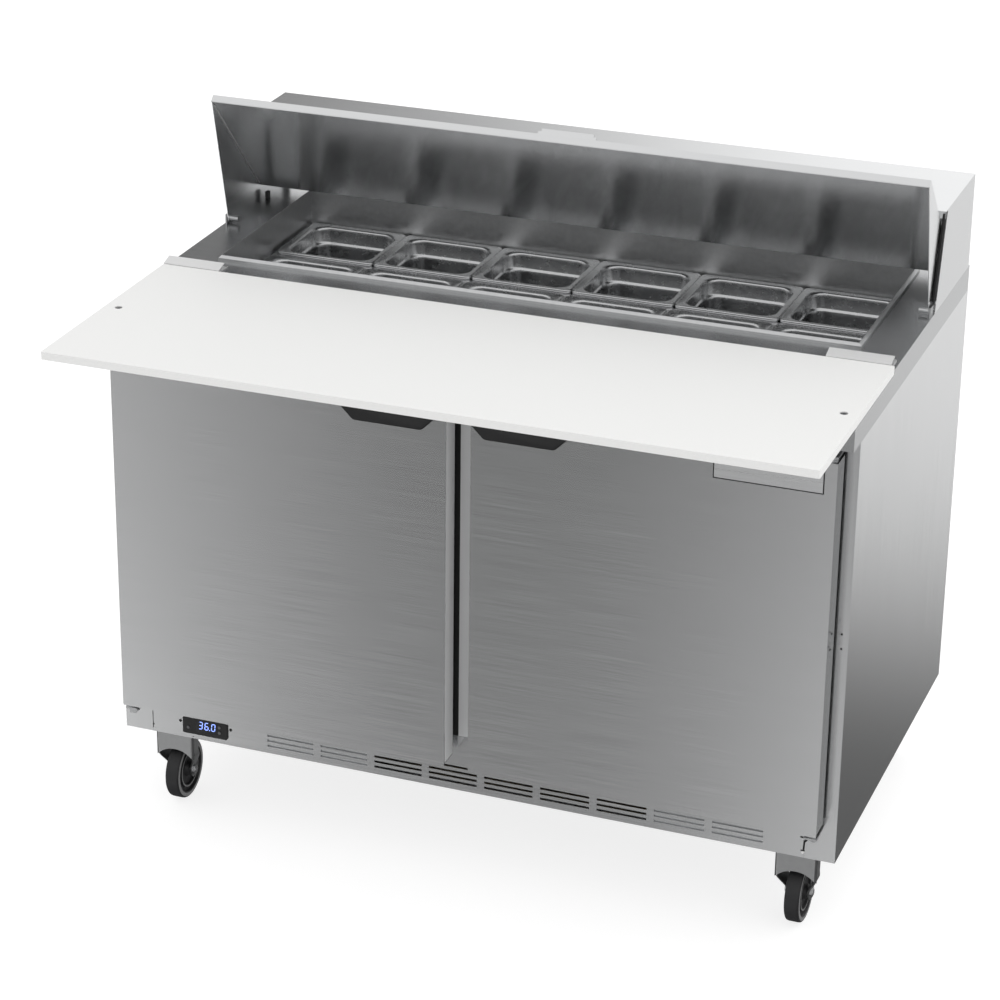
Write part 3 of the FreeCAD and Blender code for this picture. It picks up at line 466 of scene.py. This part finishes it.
def cut_with(obj, verts, faces):
    """Cut a closed shape out of obj."""
    mesh = bpy.data.meshes.new("cutter")
    mesh.from_pydata([tuple(v) for v in verts], [], faces)
    work = bmesh.new()
    work.from_mesh(mesh)
    bmesh.ops.recalc_face_normals(work, faces=work.faces)
    work.to_mesh(mesh)
    work.free()
    cutter = bpy.data.objects.new("cutter", mesh)
    SCENE.collection.objects.link(cutter)
    mod = obj.modifiers.new("cut", "BOOLEAN")
    mod.operation = "DIFFERENCE"
    mod.solver = "EXACT"
    mod.object = cutter
    bpy.context.view_layer.update()
    evaluated = obj.evaluated_get(bpy.context.evaluated_depsgraph_get())
    result = bpy.data.meshes.new_from_object(evaluated)
    obj.modifiers.clear()
    old = obj.data
    obj.data = result
    bpy.data.meshes.remove(old)
    bpy.data.objects.remove(cutter)
    bpy.data.meshes.remove(mesh)


for side in ("left", "right"):
    pull, pocket = door_pull(side)
    cut_with(pull, *skin(pocket, True, True))
    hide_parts(f"{side}_door_grip")


# ---------------------------------------------------------------- door gaskets
def gasket(side):
    """Bellows seal swept round the door opening."""
    lo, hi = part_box(f"{side}_door_gasket")
    depth = hi.y - lo.y
    section = ((0.0, 0.0), (15.0, 0.0), (15.0, 0.22), (11.5, 0.3), (11.5, 0.45), (14.0, 0.55), (14.6, 0.78),
               (13.6, 0.96), (8.0, 1.0), (1.8, 0.96), (0.6, 0.78), (1.2, 0.55), (3.5, 0.45), (3.5, 0.3),
               (0.0, 0.22))
    loops = []
    for inset, share in section:
        i = inset * MM
        y = lo.y + depth * share
        loops.append([Vector((lo.x + i, y, lo.z + i)), Vector((hi.x - i, y, lo.z + i)),
                      Vector((hi.x - i, y, hi.z - i)), Vector((lo.x + i, y, hi.z - i))])
    verts, faces = skin(loops + [loops[0]])
    obj = piece(f"{side}_door_seal", verts, faces, "rubber", f"{side}_door", "gasket_rubber", 30.0)
    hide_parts(f"{side}_door_gasket")


gasket("left")
gasket("right")


# ---------------------------------------------------------------- centre post and door edges
FRAME_FACE_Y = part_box("front_frame")[0].y
SEAL_LO, SEAL_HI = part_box("right_door_gasket")
POST_HALF = 14.3               # half the width of the bare strip between the seals
SEAL_EDGE = 28.0
HEM = 4.0 * MM                 # drop of each door's folded lower edge
TRIM = 0.2 * MM                # how far the hem and the paler edge strips stand proud
EDGE_INSET = 2.0 * MM


def post_strip(name, x0, x1, look, slot):
    """Upright strip on the centre post, between two x in millimetres."""
    verts, faces = block((x0 * MM, FRAME_FACE_Y - 0.25 * MM, SEAL_LO.z),
                         (x1 * MM, FRAME_FACE_Y + 0.3 * MM, SEAL_HI.z))
    piece(name, verts, faces, look, "cabinet", slot)


# painted shade: dark strips on the centre post beside the seals stand for the shadow in the door gap
post_strip("post_gap_shade_left", -SEAL_EDGE, -POST_HALF, "dark", "gasket_rubber")
post_strip("post_gap_shade_right", POST_HALF, SEAL_EDGE, "dark", "gasket_rubber")
# painted light: the bare face of the centre post takes the paler matt edge copy of the steel
post_strip("post_face", -POST_HALF, POST_HALF, "edge", "stainless")

for side in ("left", "right"):
    lo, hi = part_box(f"{side}_door_skin")
    verts, faces = block((lo.x + 0.3 * MM, lo.y - TRIM, lo.z - HEM),
                         (hi.x - 0.3 * MM, lo.y + 1.4 * MM, lo.z + EDGE_INSET))
    piece(f"{side}_door_hem", verts, faces, "door", f"{side}_door", "stainless")
    # painted light: each door's inner side edge is faced with the paler matt edge copy of the steel
    edge_x = hi.x if side == "left" else lo.x
    verts, faces = block((edge_x - TRIM, lo.y + 2.4 * MM, lo.z + EDGE_INSET),
                         (edge_x + TRIM, hi.y - EDGE_INSET, hi.z - EDGE_INSET))
    piece(f"{side}_door_edge", verts, faces, "edge", f"{side}_door", "stainless")


# ---------------------------------------------------------------- badge border
BADGE_LO, BADGE_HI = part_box("badge_plate")


def badge_rectangle(grow, y):
    """Rectangle round the badge plate, larger by grow on each side."""
    x0, x1 = BADGE_LO.x - grow, BADGE_HI.x + grow
    z0, z1 = BADGE_LO.z - grow, BADGE_HI.z + grow
    return [Vector((x, y, z)) for x, z in ((x0, z0), (x1, z0), (x1, z1), (x0, z1))]


BORDER = 1.6 * MM
BORDER_LAP = 0.2 * MM
border_y = BADGE_LO.y - 0.3 * MM
border = [badge_rectangle(grow, y) for grow, y in ((BORDER, BADGE_HI.y), (BORDER, border_y),
                                                   (BORDER_LAP, border_y), (BORDER_LAP, BADGE_HI.y))]
verts, faces = skin(border + [border[0]])
piece("badge_border", verts, faces, "plastic", "right_door", "black_plastic")


# ---------------------------------------------------------------- casters
WHEEL_HALF = 12.0              # half the wheel's width, millimetres
WHEEL_PROFILE = (
    # distance in from the wheel's side face, radius: hub, web, inner ring, tyre, tread shoulder
    (-1.4, 5.2), (-1.4, 11.0), (-0.8, 12.0), (3.0, 13.0), (5.0, 14.5), (5.0, 27.6), (1.6, 28.4), (1.2, 29.0),
    (1.2, 32.0), (1.6, 32.6), (4.4, 33.4), (4.4, 39.6), (0.6, 40.6), (0.0, 41.4), (0.0, 47.6), (0.5, 49.0),
    (1.6, 50.1), (3.2, 50.6),
)
TREAD_INSET = 5.0
SIDE_RINGS = ((1.2, 29.4, 31.8), (0.0, 41.8, 48.0))    # inset, inner and outer radius of the paler rings


def wheel(corner):
    """Solid tyre with a round-shouldered tread, a recessed web and a bossed hub."""
    lo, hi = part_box(f"caster_wheel_{corner}")
    centre = (lo + hi) / 2
    radius = (hi.z - lo.z) / 2
    half = [((WHEEL_HALF - inset) * MM, r * MM) for inset, r in WHEEL_PROFILE]
    half.append(((WHEEL_HALF - TREAD_INSET) * MM, radius))
    profile = half + [(-along, r) for along, r in reversed(half)]
    verts, faces = turned(profile, centre, (1, 0, 0), 56)
    obj = piece(f"caster_tyre_{corner}", verts, faces, "tyre", f"wheel_{corner}", "caster_tyre", 40.0)
    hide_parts(f"caster_wheel_{corner}")
    for sign, tag in ((1, "r"), (-1, "l")):
        rings = []
        for inset, r_in, r_out in SIDE_RINGS:
            face = WHEEL_HALF - inset
            ring = [(face - 0.6, r_in), (face + 0.15, r_in + 0.3), (face + 0.15, r_out - 0.3),
                    (face - 0.6, r_out)]
            rings.append(turned([(a * MM * sign, r * MM) for a, r in ring], centre, (1, 0, 0), 56))
        verts, faces = joined(rings)
        piece(f"caster_side_rings_{corner}_{tag}", verts, faces, "tyre_side", f"wheel_{corner}",
              "caster_tyre", 40.0)


CORNER_R = 4.0 * MM            # radius of the horn's front corners
SHEET = 2.4 * MM               # thickness of the horn's sheet
HALF_AT_AXLE = 18.0 * MM       # the legs close in to this half width
KNEE_Z = 94.0 * MM             # height where they start to close in
LEG_BELOW_AXLE = 13.0 * MM
LEG_WEBS = ((-1, 64.0 * MM), (1, 20.0 * MM))    # side, depth of the leg behind the front wall
LEG_BANDS = 14
WALL_COLUMNS = 36
ARCH_TOP_Z = 102.0 * MM
ARCH_DROP = 16.0 * MM
PIVOT_BEHIND_AXLE = 19.0 * MM
RACE_R = 28.0 * MM
NUT_ACROSS, NUT_HEIGHT = 15.0 * MM, 4.6 * MM
AXLE_R = 4.7 * MM


def leg_outline(front, web, top, axle):
    """Side outline (y, z) of one leg; web is its depth behind the front wall."""
    low_z = axle.z - LEG_BELOW_AXLE
    edge_y = front + CORNER_R + 0.4 * MM
    shape = [(edge_y, top), (edge_y, 86 * MM), (axle.y - 10 * MM, axle.z + 4 * MM),
             (axle.y - 6 * MM, low_z), (axle.y + 6 * MM, low_z), (axle.y + 9 * MM, axle.z + 5 * MM),
             (front + web, 100 * MM), (front + web + 2 * MM, top)]
    radii = [0.0, 4 * MM, 5 * MM, 4 * MM, 4 * MM, 5 * MM, 6 * MM, 0.0]
    return [(p.x, p.y) for p in fillet_outline(shape, radii, 4)]


def outline_span(outline, z):
    """Least and greatest y of a (y, z) outline at one height."""
    hits = []
    for k, (y0, z0) in enumerate(outline):
        y1, z1 = outline[(k + 1) % len(outline)]
        if abs(z1 - z0) > 1e-9 and min(z0, z1) - 1e-7 <= z <= max(z0, z1) + 1e-7:
            hits.append(y0 + (y1 - y0) * (z - z0) / (z1 - z0))
    return min(hits), max(hits)


def horn_leg(sign, web, cx, half_top, front, top, axle):
    """One leg as horizontal bands, so that it can lean in towards the axle."""
    outline = leg_outline(front, web, top, axle)
    low_z = axle.z - LEG_BELOW_AXLE
    loops = []
    for k in range(LEG_BANDS + 1):
        z = top + (low_z - top) * k / LEG_BANDS
        y0, y1 = outline_span(outline, z)
        t = min(1.0, max(0.0, (KNEE_Z - z) / (KNEE_Z - axle.z)))
        t = t * t * (3 - 2 * t)
        x = cx + sign * (half_top + (HALF_AT_AXLE - half_top) * t)
        xi = x - sign * SHEET
        loops.append([Vector((x, y0, z)), Vector((x, y1, z)), Vector((xi, y1, z)), Vector((xi, y0, z))])
    return skin(loops, True, True)


def horn_wall(cx, half_top, front, top):
    """Arched front wall with round vertical corners."""
    wall_top = top + 8 * MM
    loops = []
    for k in range(WALL_COLUMNS + 1):
        u = -1 + 2 * k / WALL_COLUMNS
        x = cx + u * (half_top - 0.2 * MM)
        arch = ARCH_TOP_Z - ARCH_DROP * abs(u) ** 2.2
        inset = max(0.0, abs(x - cx) - (half_top - CORNER_R))
        y_out = front + CORNER_R - math.sqrt(max(0.0, CORNER_R ** 2 - inset ** 2))
        y_in = max(front + SHEET, y_out + 0.6 * SHEET)
        loops.append([Vector((x, y_out, wall_top)), Vector((x, y_out, arch)),
                      Vector((x, y_in, arch)), Vector((x, y_in, wall_top))])
    return skin(loops, True, True)


def axle_set(axle):
    """Axle rod with a spacer sleeve on each side of the wheel."""
    end = HALF_AT_AXLE - SHEET
    sleeve = [(-end, 4.9 * MM), (-end, 8.0 * MM), (-13.6 * MM, 8.0 * MM), (-13.6 * MM, 4.9 * MM)]
    other = [(-a, r) for a, r in sleeve]
    reach = HALF_AT_AXLE + 5 * MM
    rod = plug([(-reach, AXLE_R), (reach, AXLE_R)], axle, (1, 0, 0), 20)
    return joined([turned(sleeve, axle, (1, 0, 0), 24), turned(other, axle, (1, 0, 0), 24), rod])


def fork(corner):
    """Pressed horn: crown, race, arched front wall, two legs that close in on the axle, axle and nuts."""
    lo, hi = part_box(f"caster_fork_{corner}")
    wheel_lo, wheel_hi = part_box(f"caster_wheel_{corner}")
    axle = (wheel_lo + wheel_hi) / 2
    cx, top = axle.x, hi.z
    front, back = lo.y + 0.2 * MM, hi.y
    body = f"fork_{corner}"
    half_top = (hi.x - lo.x) / 2

    # painted light and shade: the legs take the paler zinc and the front wall the darker copy, though both
    # are one pressing
    verts, faces = joined([horn_leg(sign, web, cx, half_top, front, top, axle) for sign, web in LEG_WEBS])
    legs = piece(f"caster_legs_{corner}", verts, faces, "zinc", body, "caster_steel", 40.0)
    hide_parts(f"caster_fork_{corner}")
    verts, faces = horn_wall(cx, half_top, front, top)
    piece(f"caster_front_wall_{corner}", verts, faces, "horn", body, "caster_steel", 40.0)

    race = plug([(-10 * MM, RACE_R - 1 * MM), (-9 * MM, RACE_R), (-1 * MM, RACE_R)],
                Vector((cx, axle.y + PIVOT_BEHIND_AXLE, top)), (0, 0, 1), 40)
    piece(f"caster_race_{corner}", *race, "zinc", body, "caster_steel", 40.0)
    crown = [ring_loop((cx, (front + back) / 2 + 3 * MM), 2 * half_top - (2 * i + 4) * MM,
                       back - front - (2 * i + 6) * MM, (9 - i) * MM, z, 5)
             for i, z in ((0.0, top - 3 * MM), (0.0, top - 0.8 * MM), (0.8, top))]
    piece(f"caster_crown_{corner}", *skin(crown, True, True), "horn", body, "caster_steel", 40.0)

    piece(f"caster_axle_{corner}", *axle_set(axle), "bright", body, "bright_steel", 40.0)
    for sign, tag in ((1, "r"), (-1, "l")):
        base = axle + Vector((sign * (HALF_AT_AXLE - 0.2 * MM), 0, 0))
        hex_nut(base, (sign, 0, 0), NUT_ACROSS, NUT_HEIGHT, body, f"caster_nut_{corner}_{tag}")


for corner in ("front_left", "front_right", "rear_left", "rear_right"):
    wheel(corner)
    fork(corner)


# ---------------------------------------------------------------- controller face
CONTROL_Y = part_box("controller")[0].y
WINDOW_X = (-479.0 * MM, -439.5 * MM)
WINDOW_Z = (150.5 * MM, 171.5 * MM)
DIGIT_Z = 157.2                # foot of the digits, millimetres
DIGIT_SIZE = (6.0, 12.6)
BAR_HALF = 0.75 * MM           # half the width of a digit's bar
GLOW_DEPTH = 0.15 * MM
window = fillet_outline([(WINDOW_X[0], WINDOW_Z[0]), (WINDOW_X[1], WINDOW_Z[0]),
                         (WINDOW_X[1], WINDOW_Z[1]), (WINDOW_X[0], WINDOW_Z[1])], 1.5 * MM)
verts, faces = slab([(p.x, CONTROL_Y + 0.3 * MM, p.y) for p in window], (0, -0.5 * MM, 0))
piece("display_window", verts, faces, "glass", "cabinet", "black_plastic")

SEGMENTS = {"0": "abcdef", "3": "abcdg", "6": "acdefg"}


def segment_bar(x0, z0, x1, z1, y):
    """Slanted bar with pointed ends between two corners of a digit."""
    a, b = Vector((x0, z0)), Vector((x1, z1))
    d = (b - a).normalized()
    n = Vector((-d.y, d.x)) * BAR_HALF
    e = d * 0.8 * MM
    outline = [a + e * 0.4, a + e * 1.4 + n, b - e * 1.4 + n, b - e * 0.4, b - e * 1.4 - n, a + e * 1.4 - n]
    return slab([(p.x, y, p.y) for p in outline], (0, -GLOW_DEPTH, 0))


def digit(symbol, x, z, width, height, y):
    """Bars of one leaning seven-segment digit."""
    lean = 0.1 * height
    low = [(x, z), (x + width, z)]
    mids = [(x + lean / 2, z + height / 2), (x + width + lean / 2, z + height / 2)]
    high = [(x + lean, z + height), (x + width + lean, z + height)]
    bars = {"a": (high[0], high[1]), "b": (mids[1], high[1]), "c": (low[1], mids[1]), "d": (low[0], low[1]),
            "e": (low[0], mids[0]), "f": (mids[0], high[0]), "g": (mids[0], mids[1])}
    return [segment_bar(*bars[s][0], *bars[s][1], y) for s in SEGMENTS[symbol]]


digit_y = CONTROL_Y - 0.2 * MM
bars = []
for symbol, x in (("3", -474.2), ("6", -463.4), ("0", -451.2)):
    bars += digit(symbol, x * MM, DIGIT_Z * MM, DIGIT_SIZE[0] * MM, DIGIT_SIZE[1] * MM, digit_y)
DOT_X, DOT_SIDE = -455.2, 1.6
dot_z = DIGIT_Z - 0.6
dot = [(DOT_X, dot_z), (DOT_X + DOT_SIDE, dot_z), (DOT_X + DOT_SIDE, dot_z + DOT_SIDE),
       (DOT_X, dot_z + DOT_SIDE)]
bars.append(slab([(x * MM, digit_y, z * MM) for x, z in dot], (0, -GLOW_DEPTH, 0)))
verts, faces = joined(bars)
piece("display_digits", verts, faces, "digit", "cabinet", "button_plastic")


# ---------------------------------------------------------------- kick panel and front marks
FRONT = (0, -1, 0)
PLATE_Y = -3.0                 # face of the hinge brackets' tabs, millimetres from the cabinet's face
INLAY_SINK, INLAY_RISE = 0.2, 0.25


def face_screw(name, x, y, z, radius, look="dark", slot="black_plastic"):
    """Screw or small round mark on the front, in millimetres."""
    screw(at(x, y, z), FRONT, radius * MM, "cabinet", name, look, slot)


def inlay(name, y, outline):
    """Thin dark shape laid on the front; outline in (x, z) millimetres."""
    verts, faces = slab([tuple(at(x, y + INLAY_SINK, z)) for x, z in outline],
                        (0, -(INLAY_RISE + INLAY_SINK) * MM, 0))
    piece(name, verts, faces, "dark", "cabinet", "black_plastic")


face_screw("controller_screw_0", -508.9, 0.0, 164.2, 2.6, "plastic")
face_screw("controller_screw_1", -417.4, 0.0, 164.2, 2.6, "plastic")
face_screw("kick_screw_left", -559.0, 0.0, 148.0, 1.6)
face_screw("kick_pinhole", -486.2, 0.0, 138.4, 0.9)
face_screw("bracket_screw_right", 573.6, PLATE_Y, 171.2, 2.3)
inlay("latch_slot", 0.0, [(553, 169.6), (559.5, 169), (561.5, 163), (564.5, 165.5), (565.5, 171.2),
                          (553, 172.4)])
# painted shadow: a dark line on the left bracket tab and a dark triangle on the stile beside it
inlay("left_tab_painted_shadow", PLATE_Y, [(-599, 170.8), (-583, 170.8), (-582, 173.6), (-598, 173.6)])
inlay("stile_painted_shadow", 0.0, [(-608.4, 174.0), (-603.2, 174.0), (-603.8, 167.0)])
inlay("latch_stem", 0.0, [(557.6, 148), (560.6, 148), (561.4, 165), (558.6, 166)])
inlay("latch_foot", 0.0, [(554.5, 146.4), (561, 146.6), (561, 148.6), (554.5, 148.4)])
# painted highlight: the steel rivet takes the white board finish so that it reads as a bright dot
face_screw("latch_rivet", 558.0, 0.0, 144.2, 2.2, "board", "bright_steel")
inlay("kick_seam_left", 0.0, [(-560.3, 141.0), (-559.2, 141.0), (-559.2, 174.0), (-560.3, 174.0)])

# sheet behind the louvres that have nothing open behind them
BACKING_Z = (142.0, 184.0)
BACKING_GAP, BACKING_SHEET = 0.8 * MM, 1.0 * MM
backing_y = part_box("grille_panel")[1].y + BACKING_GAP
for tag, x0, x1 in (("left", -356.0, -168.0), ("right", 311.0, 499.0)):
    verts, faces = block((x0 * MM, backing_y, BACKING_Z[0] * MM),
                         (x1 * MM, backing_y + BACKING_SHEET, BACKING_Z[1] * MM))
    piece(f"grille_backing_{tag}", verts, faces, "galvanised", "cabinet", "galvanised")


# ---------------------------------------------------------------- stile and door side marks
face_screw("stile_mark_0", 598.7, 0.0, 528.2, 1.7)
face_screw("stile_mark_1", 599.2, 0.0, 503.9, 1.7)
DOOR_SIDE_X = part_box("right_door_skin")[1].x
for i, (y, z) in enumerate(((-24.5, 538.6), (-30.4, 514.7))):
    place = Vector((DOOR_SIDE_X, *at(0.0, y, z).yz))
    screw(place, (1, 0, 0), 1.8 * MM, "right_door", f"door_side_mark_{i}", "dark", "black_plastic")


# ---------------------------------------------------------------- lid and hood details
LINER_LO, LINER_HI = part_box("lid_liner")
LID_FRONT = Vector((0.0, LINER_LO.y, LINER_HI.z))
LID_REAR = Vector((0.0, LINER_HI.y, LINER_LO.z))
LID_DOWN = (LID_REAR - LID_FRONT).normalized()
LID_IN = Vector((0.0, LID_DOWN.z, -LID_DOWN.y))       # out of the lid's inner face, towards the user
LID_HALF_X = LINER_HI.x
LID_HEM = (0.2, 11.0)          # distances from the lid's front edge
LID_SEAM = (11.0, 268.0)
SEAM_WIDTH = 1.6 * MM
BAR_SINK = 0.8 * MM


def lid_bar(name, along, lift, x0, x1, look="lid"):
    """Bar on the lid's inner face between two distances from its front edge."""
    a = LID_FRONT + LID_DOWN * along[0] * MM
    b = LID_FRONT + LID_DOWN * along[1] * MM
    out = LID_IN * lift * MM
    corners = [a - LID_IN * BAR_SINK, b - LID_IN * BAR_SINK, b + out, a + out]
    verts, faces = slab([Vector((x0, c.y, c.z)) for c in corners], (x1 - x0, 0, 0))
    bevel(piece(name, verts, faces, look, "lid", "lid_steel"), 0.4)


STOP_X, STOP_HALF = 598.5 * MM, 3.2 * MM
STOP_Y, STOP_Z = (578.0, 588.0), (886.0, 897.0)
STRIP_X, STRIP_THICK = 604.8 * MM, 3.0 * MM
STRIP_DEPTH = 14.0
STRIP_FOOT = (444.0, 906.0)    # y, z of the front lower corner
STRIP_TOP = (480.0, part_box("hood")[1].z / MM - 4.0)

lid_bar("lid_front_hem", LID_HEM, 1.0, -LID_HALF_X, LID_HALF_X)
for sign, tag in ((-1, "left"), (1, "right")):
    x0, x1 = sorted((sign * LID_HALF_X, sign * (LID_HALF_X - SEAM_WIDTH)))
    lid_bar(f"lid_seam_{tag}", LID_SEAM, 1.4, x0, x1, "clip")
    y0, y1 = (at(0.0, y, 0.0).y for y in STOP_Y)
    verts, faces = block((sign * STOP_X - STOP_HALF, y0, STOP_Z[0] * MM),
                         (sign * STOP_X + STOP_HALF, y1, STOP_Z[1] * MM))
    bevel(piece(f"lid_stop_{tag}", verts, faces, "rubber", "cabinet", "gasket_rubber"), 1.0)
    # dark strip that closes the slit between the lid's cheek and the hood's raked edge: painted shade for
    # the shadow inside the slit
    raked = [STRIP_FOOT, (STRIP_FOOT[0] + STRIP_DEPTH, STRIP_FOOT[1]),
             (STRIP_TOP[0] + STRIP_DEPTH, STRIP_TOP[1]), STRIP_TOP]
    verts, faces = slab([Vector((sign * STRIP_X, *at(0.0, y, z).yz)) for y, z in raked],
                        (sign * STRIP_THICK, 0, 0))
    piece(f"hood_slit_shade_{tag}", verts, faces, "dark", "cabinet", "gasket_rubber")


# ---------------------------------------------------------------- camera
# solved from points in the photo and their places on the CAD model
CAMERA_LENS = 114.870
CAMERA_SHIFT = (0.09748, -0.01247)
CAMERA_PLACE = (1.59338, -4.45470, 2.64829)
CAMERA_AZIMUTH, CAMERA_ELEVATION = 21.972, 23.664
camera_data = bpy.data.cameras.new("camera")
camera_data.sensor_width = 36.0
camera_data.lens = CAMERA_LENS
camera_data.shift_x, camera_data.shift_y = CAMERA_SHIFT
camera = bpy.data.objects.new("camera", camera_data)
SCENE.collection.objects.link(camera)
azimuth, elevation = math.radians(CAMERA_AZIMUTH), math.radians(CAMERA_ELEVATION)
back = Vector((math.sin(azimuth) * math.cos(elevation), -math.cos(azimuth) * math.cos(elevation),
               math.sin(elevation)))
right = Vector((0, 0, 1)).cross(back).normalized()
up = back.cross(right)
turn = Matrix((right, up, back)).transposed().to_4x4()
camera.matrix_world = Matrix.Translation(CAMERA_PLACE) @ turn
SCENE.camera = camera


# ---------------------------------------------------------------- floor and light
floor_mat, floor_tree, floor_shader = material("studio_floor")
floor_value = object_noise(floor_tree, (3, 3, 3))
floor_tree.links.new(tint(floor_tree, floor_value, (0.34, 0.34, 0.34), (0.35, 0.35, 0.35)),
                     floor_shader.inputs["Base Color"])
floor_shader.inputs["Roughness"].default_value = 0.9
floor_shader.inputs["Specular IOR Level"].default_value = 0.0
floor_shader.inputs["Emission Color"].default_value = (1.0, 1.0, 1.0, 1.0)
floor_shader.inputs["Emission Strength"].default_value = 0.8
FLOOR_HALF = 40.0
FLOOR_DROP = 0.0005            # the floor lies just below the tyres
floor_mesh = bpy.data.meshes.new("floor")
floor_corners = [(x * FLOOR_HALF, y * FLOOR_HALF, 0) for x, y in ((-1, -1), (1, -1), (1, 1), (-1, 1))]
floor_mesh.from_pydata(floor_corners, [], [(0, 1, 2, 3)])
floor_mesh.materials.append(floor_mat)
floor = bpy.data.objects.new("floor", floor_mesh)
SCENE.collection.objects.link(floor)
floor.location.z = -FLOOR_DROP
floor.visible_glossy = False

world = bpy.data.worlds.new("studio")
SCENE.world = world
world.use_nodes = True
world.cycles.sampling_method = "NONE"
wt = world.node_tree
wt.nodes.clear()


def math_node(op, a, b):
    """Result of one math node; a and b are numbers or sockets."""
    node = wt.nodes.new("ShaderNodeMath")
    node.operation = op
    for i, value in enumerate((a, b)):
        if isinstance(value, (int, float)):
            node.inputs[i].default_value = value
        else:
            wt.links.new(value, node.inputs[i])
    return node.outputs[0]


direction = wt.nodes.new("ShaderNodeTexCoord").outputs["Generated"]
split = wt.nodes.new("ShaderNodeSeparateXYZ")
wt.links.new(direction, split.inputs[0])
dx, dy, dz = split.outputs


def spherical(azimuth_deg, elevation_deg):
    """Unit vector: azimuth from -Y towards +X, elevation from the floor."""
    a, e = math.radians(azimuth_deg), math.radians(elevation_deg)
    return Vector((math.sin(a) * math.cos(e), -math.cos(a) * math.cos(e), math.sin(e)))


def card(azimuth_deg, elevation_deg, inner, outer, strength):
    """Soft round light: full strength inside inner degrees, none outside outer."""
    dot = wt.nodes.new("ShaderNodeVectorMath")
    dot.operation = "DOT_PRODUCT"
    wt.links.new(direction, dot.inputs[0])
    dot.inputs[1].default_value = spherical(azimuth_deg, elevation_deg)
    ramp = wt.nodes.new("ShaderNodeMapRange")
    ramp.interpolation_type = "SMOOTHSTEP"
    ramp.inputs["From Min"].default_value = math.cos(math.radians(outer))
    ramp.inputs["From Max"].default_value = math.cos(math.radians(inner))
    ramp.inputs["To Min"].default_value = 0.0
    ramp.inputs["To Max"].default_value = strength
    wt.links.new(dot.outputs["Value"], ramp.inputs["Value"])
    return ramp.outputs["Result"]


CARDS = (
    # azimuth from -Y towards +X, elevation, inner, outer, strength
    (-41.0, -22.0, 4.0, 18.0, 0.75),     # left part of the doors
    (-36.0, -37.0, 3.0, 12.0, 1.7),      # left end of the kick panel
    (0.0, -26.0, 4.0, 17.0, 0.72),       # right part of the doors
    (-5.0, -38.0, 4.0, 12.0, 0.75),      # right end of the kick panel
    (167.0, -17.7, 4.2, 10.7, 0.94),     # right side panel
    (-172.0, 18.0, 3.0, 12.0, 0.42),     # hood, right end
    (-144.0, 19.0, 6.0, 21.0, -0.82),    # hood, left end
)
# what the metal reflects: darker below the horizon, brighter above, and the soft lights
horizon = wt.nodes.new("ShaderNodeMapRange")
horizon.interpolation_type = "SMOOTHSTEP"
horizon.inputs["From Min"].default_value = -0.2
horizon.inputs["From Max"].default_value = 0.15
horizon.inputs["To Min"].default_value = 0.125
horizon.inputs["To Max"].default_value = 0.95
wt.links.new(dz, horizon.inputs["Value"])
glossy = horizon.outputs["Result"]
for values in CARDS:
    glossy = math_node("ADD", glossy, card(*values))
glossy = math_node("MAXIMUM", glossy, 0.02)

# what lights the matt surfaces: brightest from above, then from behind, a touch more from the right
DIFFUSE_BASE = 0.62
DIFFUSE_TURN = (0.06, 0.38, 0.62)      # change along x, y and z
diffuse = math_node("ADD", DIFFUSE_BASE, math_node("MULTIPLY", dz, DIFFUSE_TURN[2]))
diffuse = math_node("ADD", diffuse, math_node("MULTIPLY", dx, DIFFUSE_TURN[0]))
diffuse = math_node("ADD", diffuse, math_node("MULTIPLY", dy, DIFFUSE_TURN[1]))
diffuse = math_node("MAXIMUM", diffuse, 0.05)

path = wt.nodes.new("ShaderNodeLightPath")


def pick(flag, yes, no):
    """yes where flag is 1, else no."""
    mix = wt.nodes.new("ShaderNodeMix")
    mix.data_type = "FLOAT"
    wt.links.new(flag, mix.inputs["Factor"])
    for value, slot_name in ((no, "A"), (yes, "B")):
        if isinstance(value, (int, float)):
            mix.inputs[slot_name].default_value = value
        else:
            wt.links.new(value, mix.inputs[slot_name])
    return mix.outputs["Result"]


strength = pick(path.outputs["Is Glossy Ray"], glossy, diffuse)
strength = pick(path.outputs["Is Camera Ray"], 1.0, strength)
background = wt.nodes.new("ShaderNodeBackground")
output = wt.nodes.new("ShaderNodeOutputWorld")
background.inputs["Color"].default_value = (1.0, 1.0, 1.0, 1.0)
wt.links.new(strength, background.inputs["Strength"])
wt.links.new(background.outputs[0], output.inputs["Surface"])


def area_light(name, width, depth, energy, place):
    """Rectangular light; the caller turns it."""
    data = bpy.data.lights.new(name, "AREA")
    data.shape = "RECTANGLE"
    data.size, data.size_y = width, depth
    data.energy = energy
    light = bpy.data.objects.new(name, data)
    SCENE.collection.objects.link(light)
    light.location = place
    return light


KEY_TARGET = Vector((0.0, 0.0, 0.6))
key = area_light("key", 3.0, 3.0, 8.0, (1.6, -0.6, 4.2))
key.rotation_euler = (KEY_TARGET - key.location).to_track_quat("-Z", "Y").to_euler()
key.visible_glossy = False

# weak strip low down at the back of the hood, shining forwards
HOOD_LO, HOOD_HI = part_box("hood")
hood_fill = area_light("hood_fill", 1.2, 0.03, 0.11, (0.0, HOOD_HI.y - 0.006, HOOD_LO.z + 0.017))
hood_fill.rotation_euler = (math.radians(-90.0), 0.0, 0.0)

SCENE.view_settings.view_transform = "Standard"
SCENE.view_settings.look = "None"
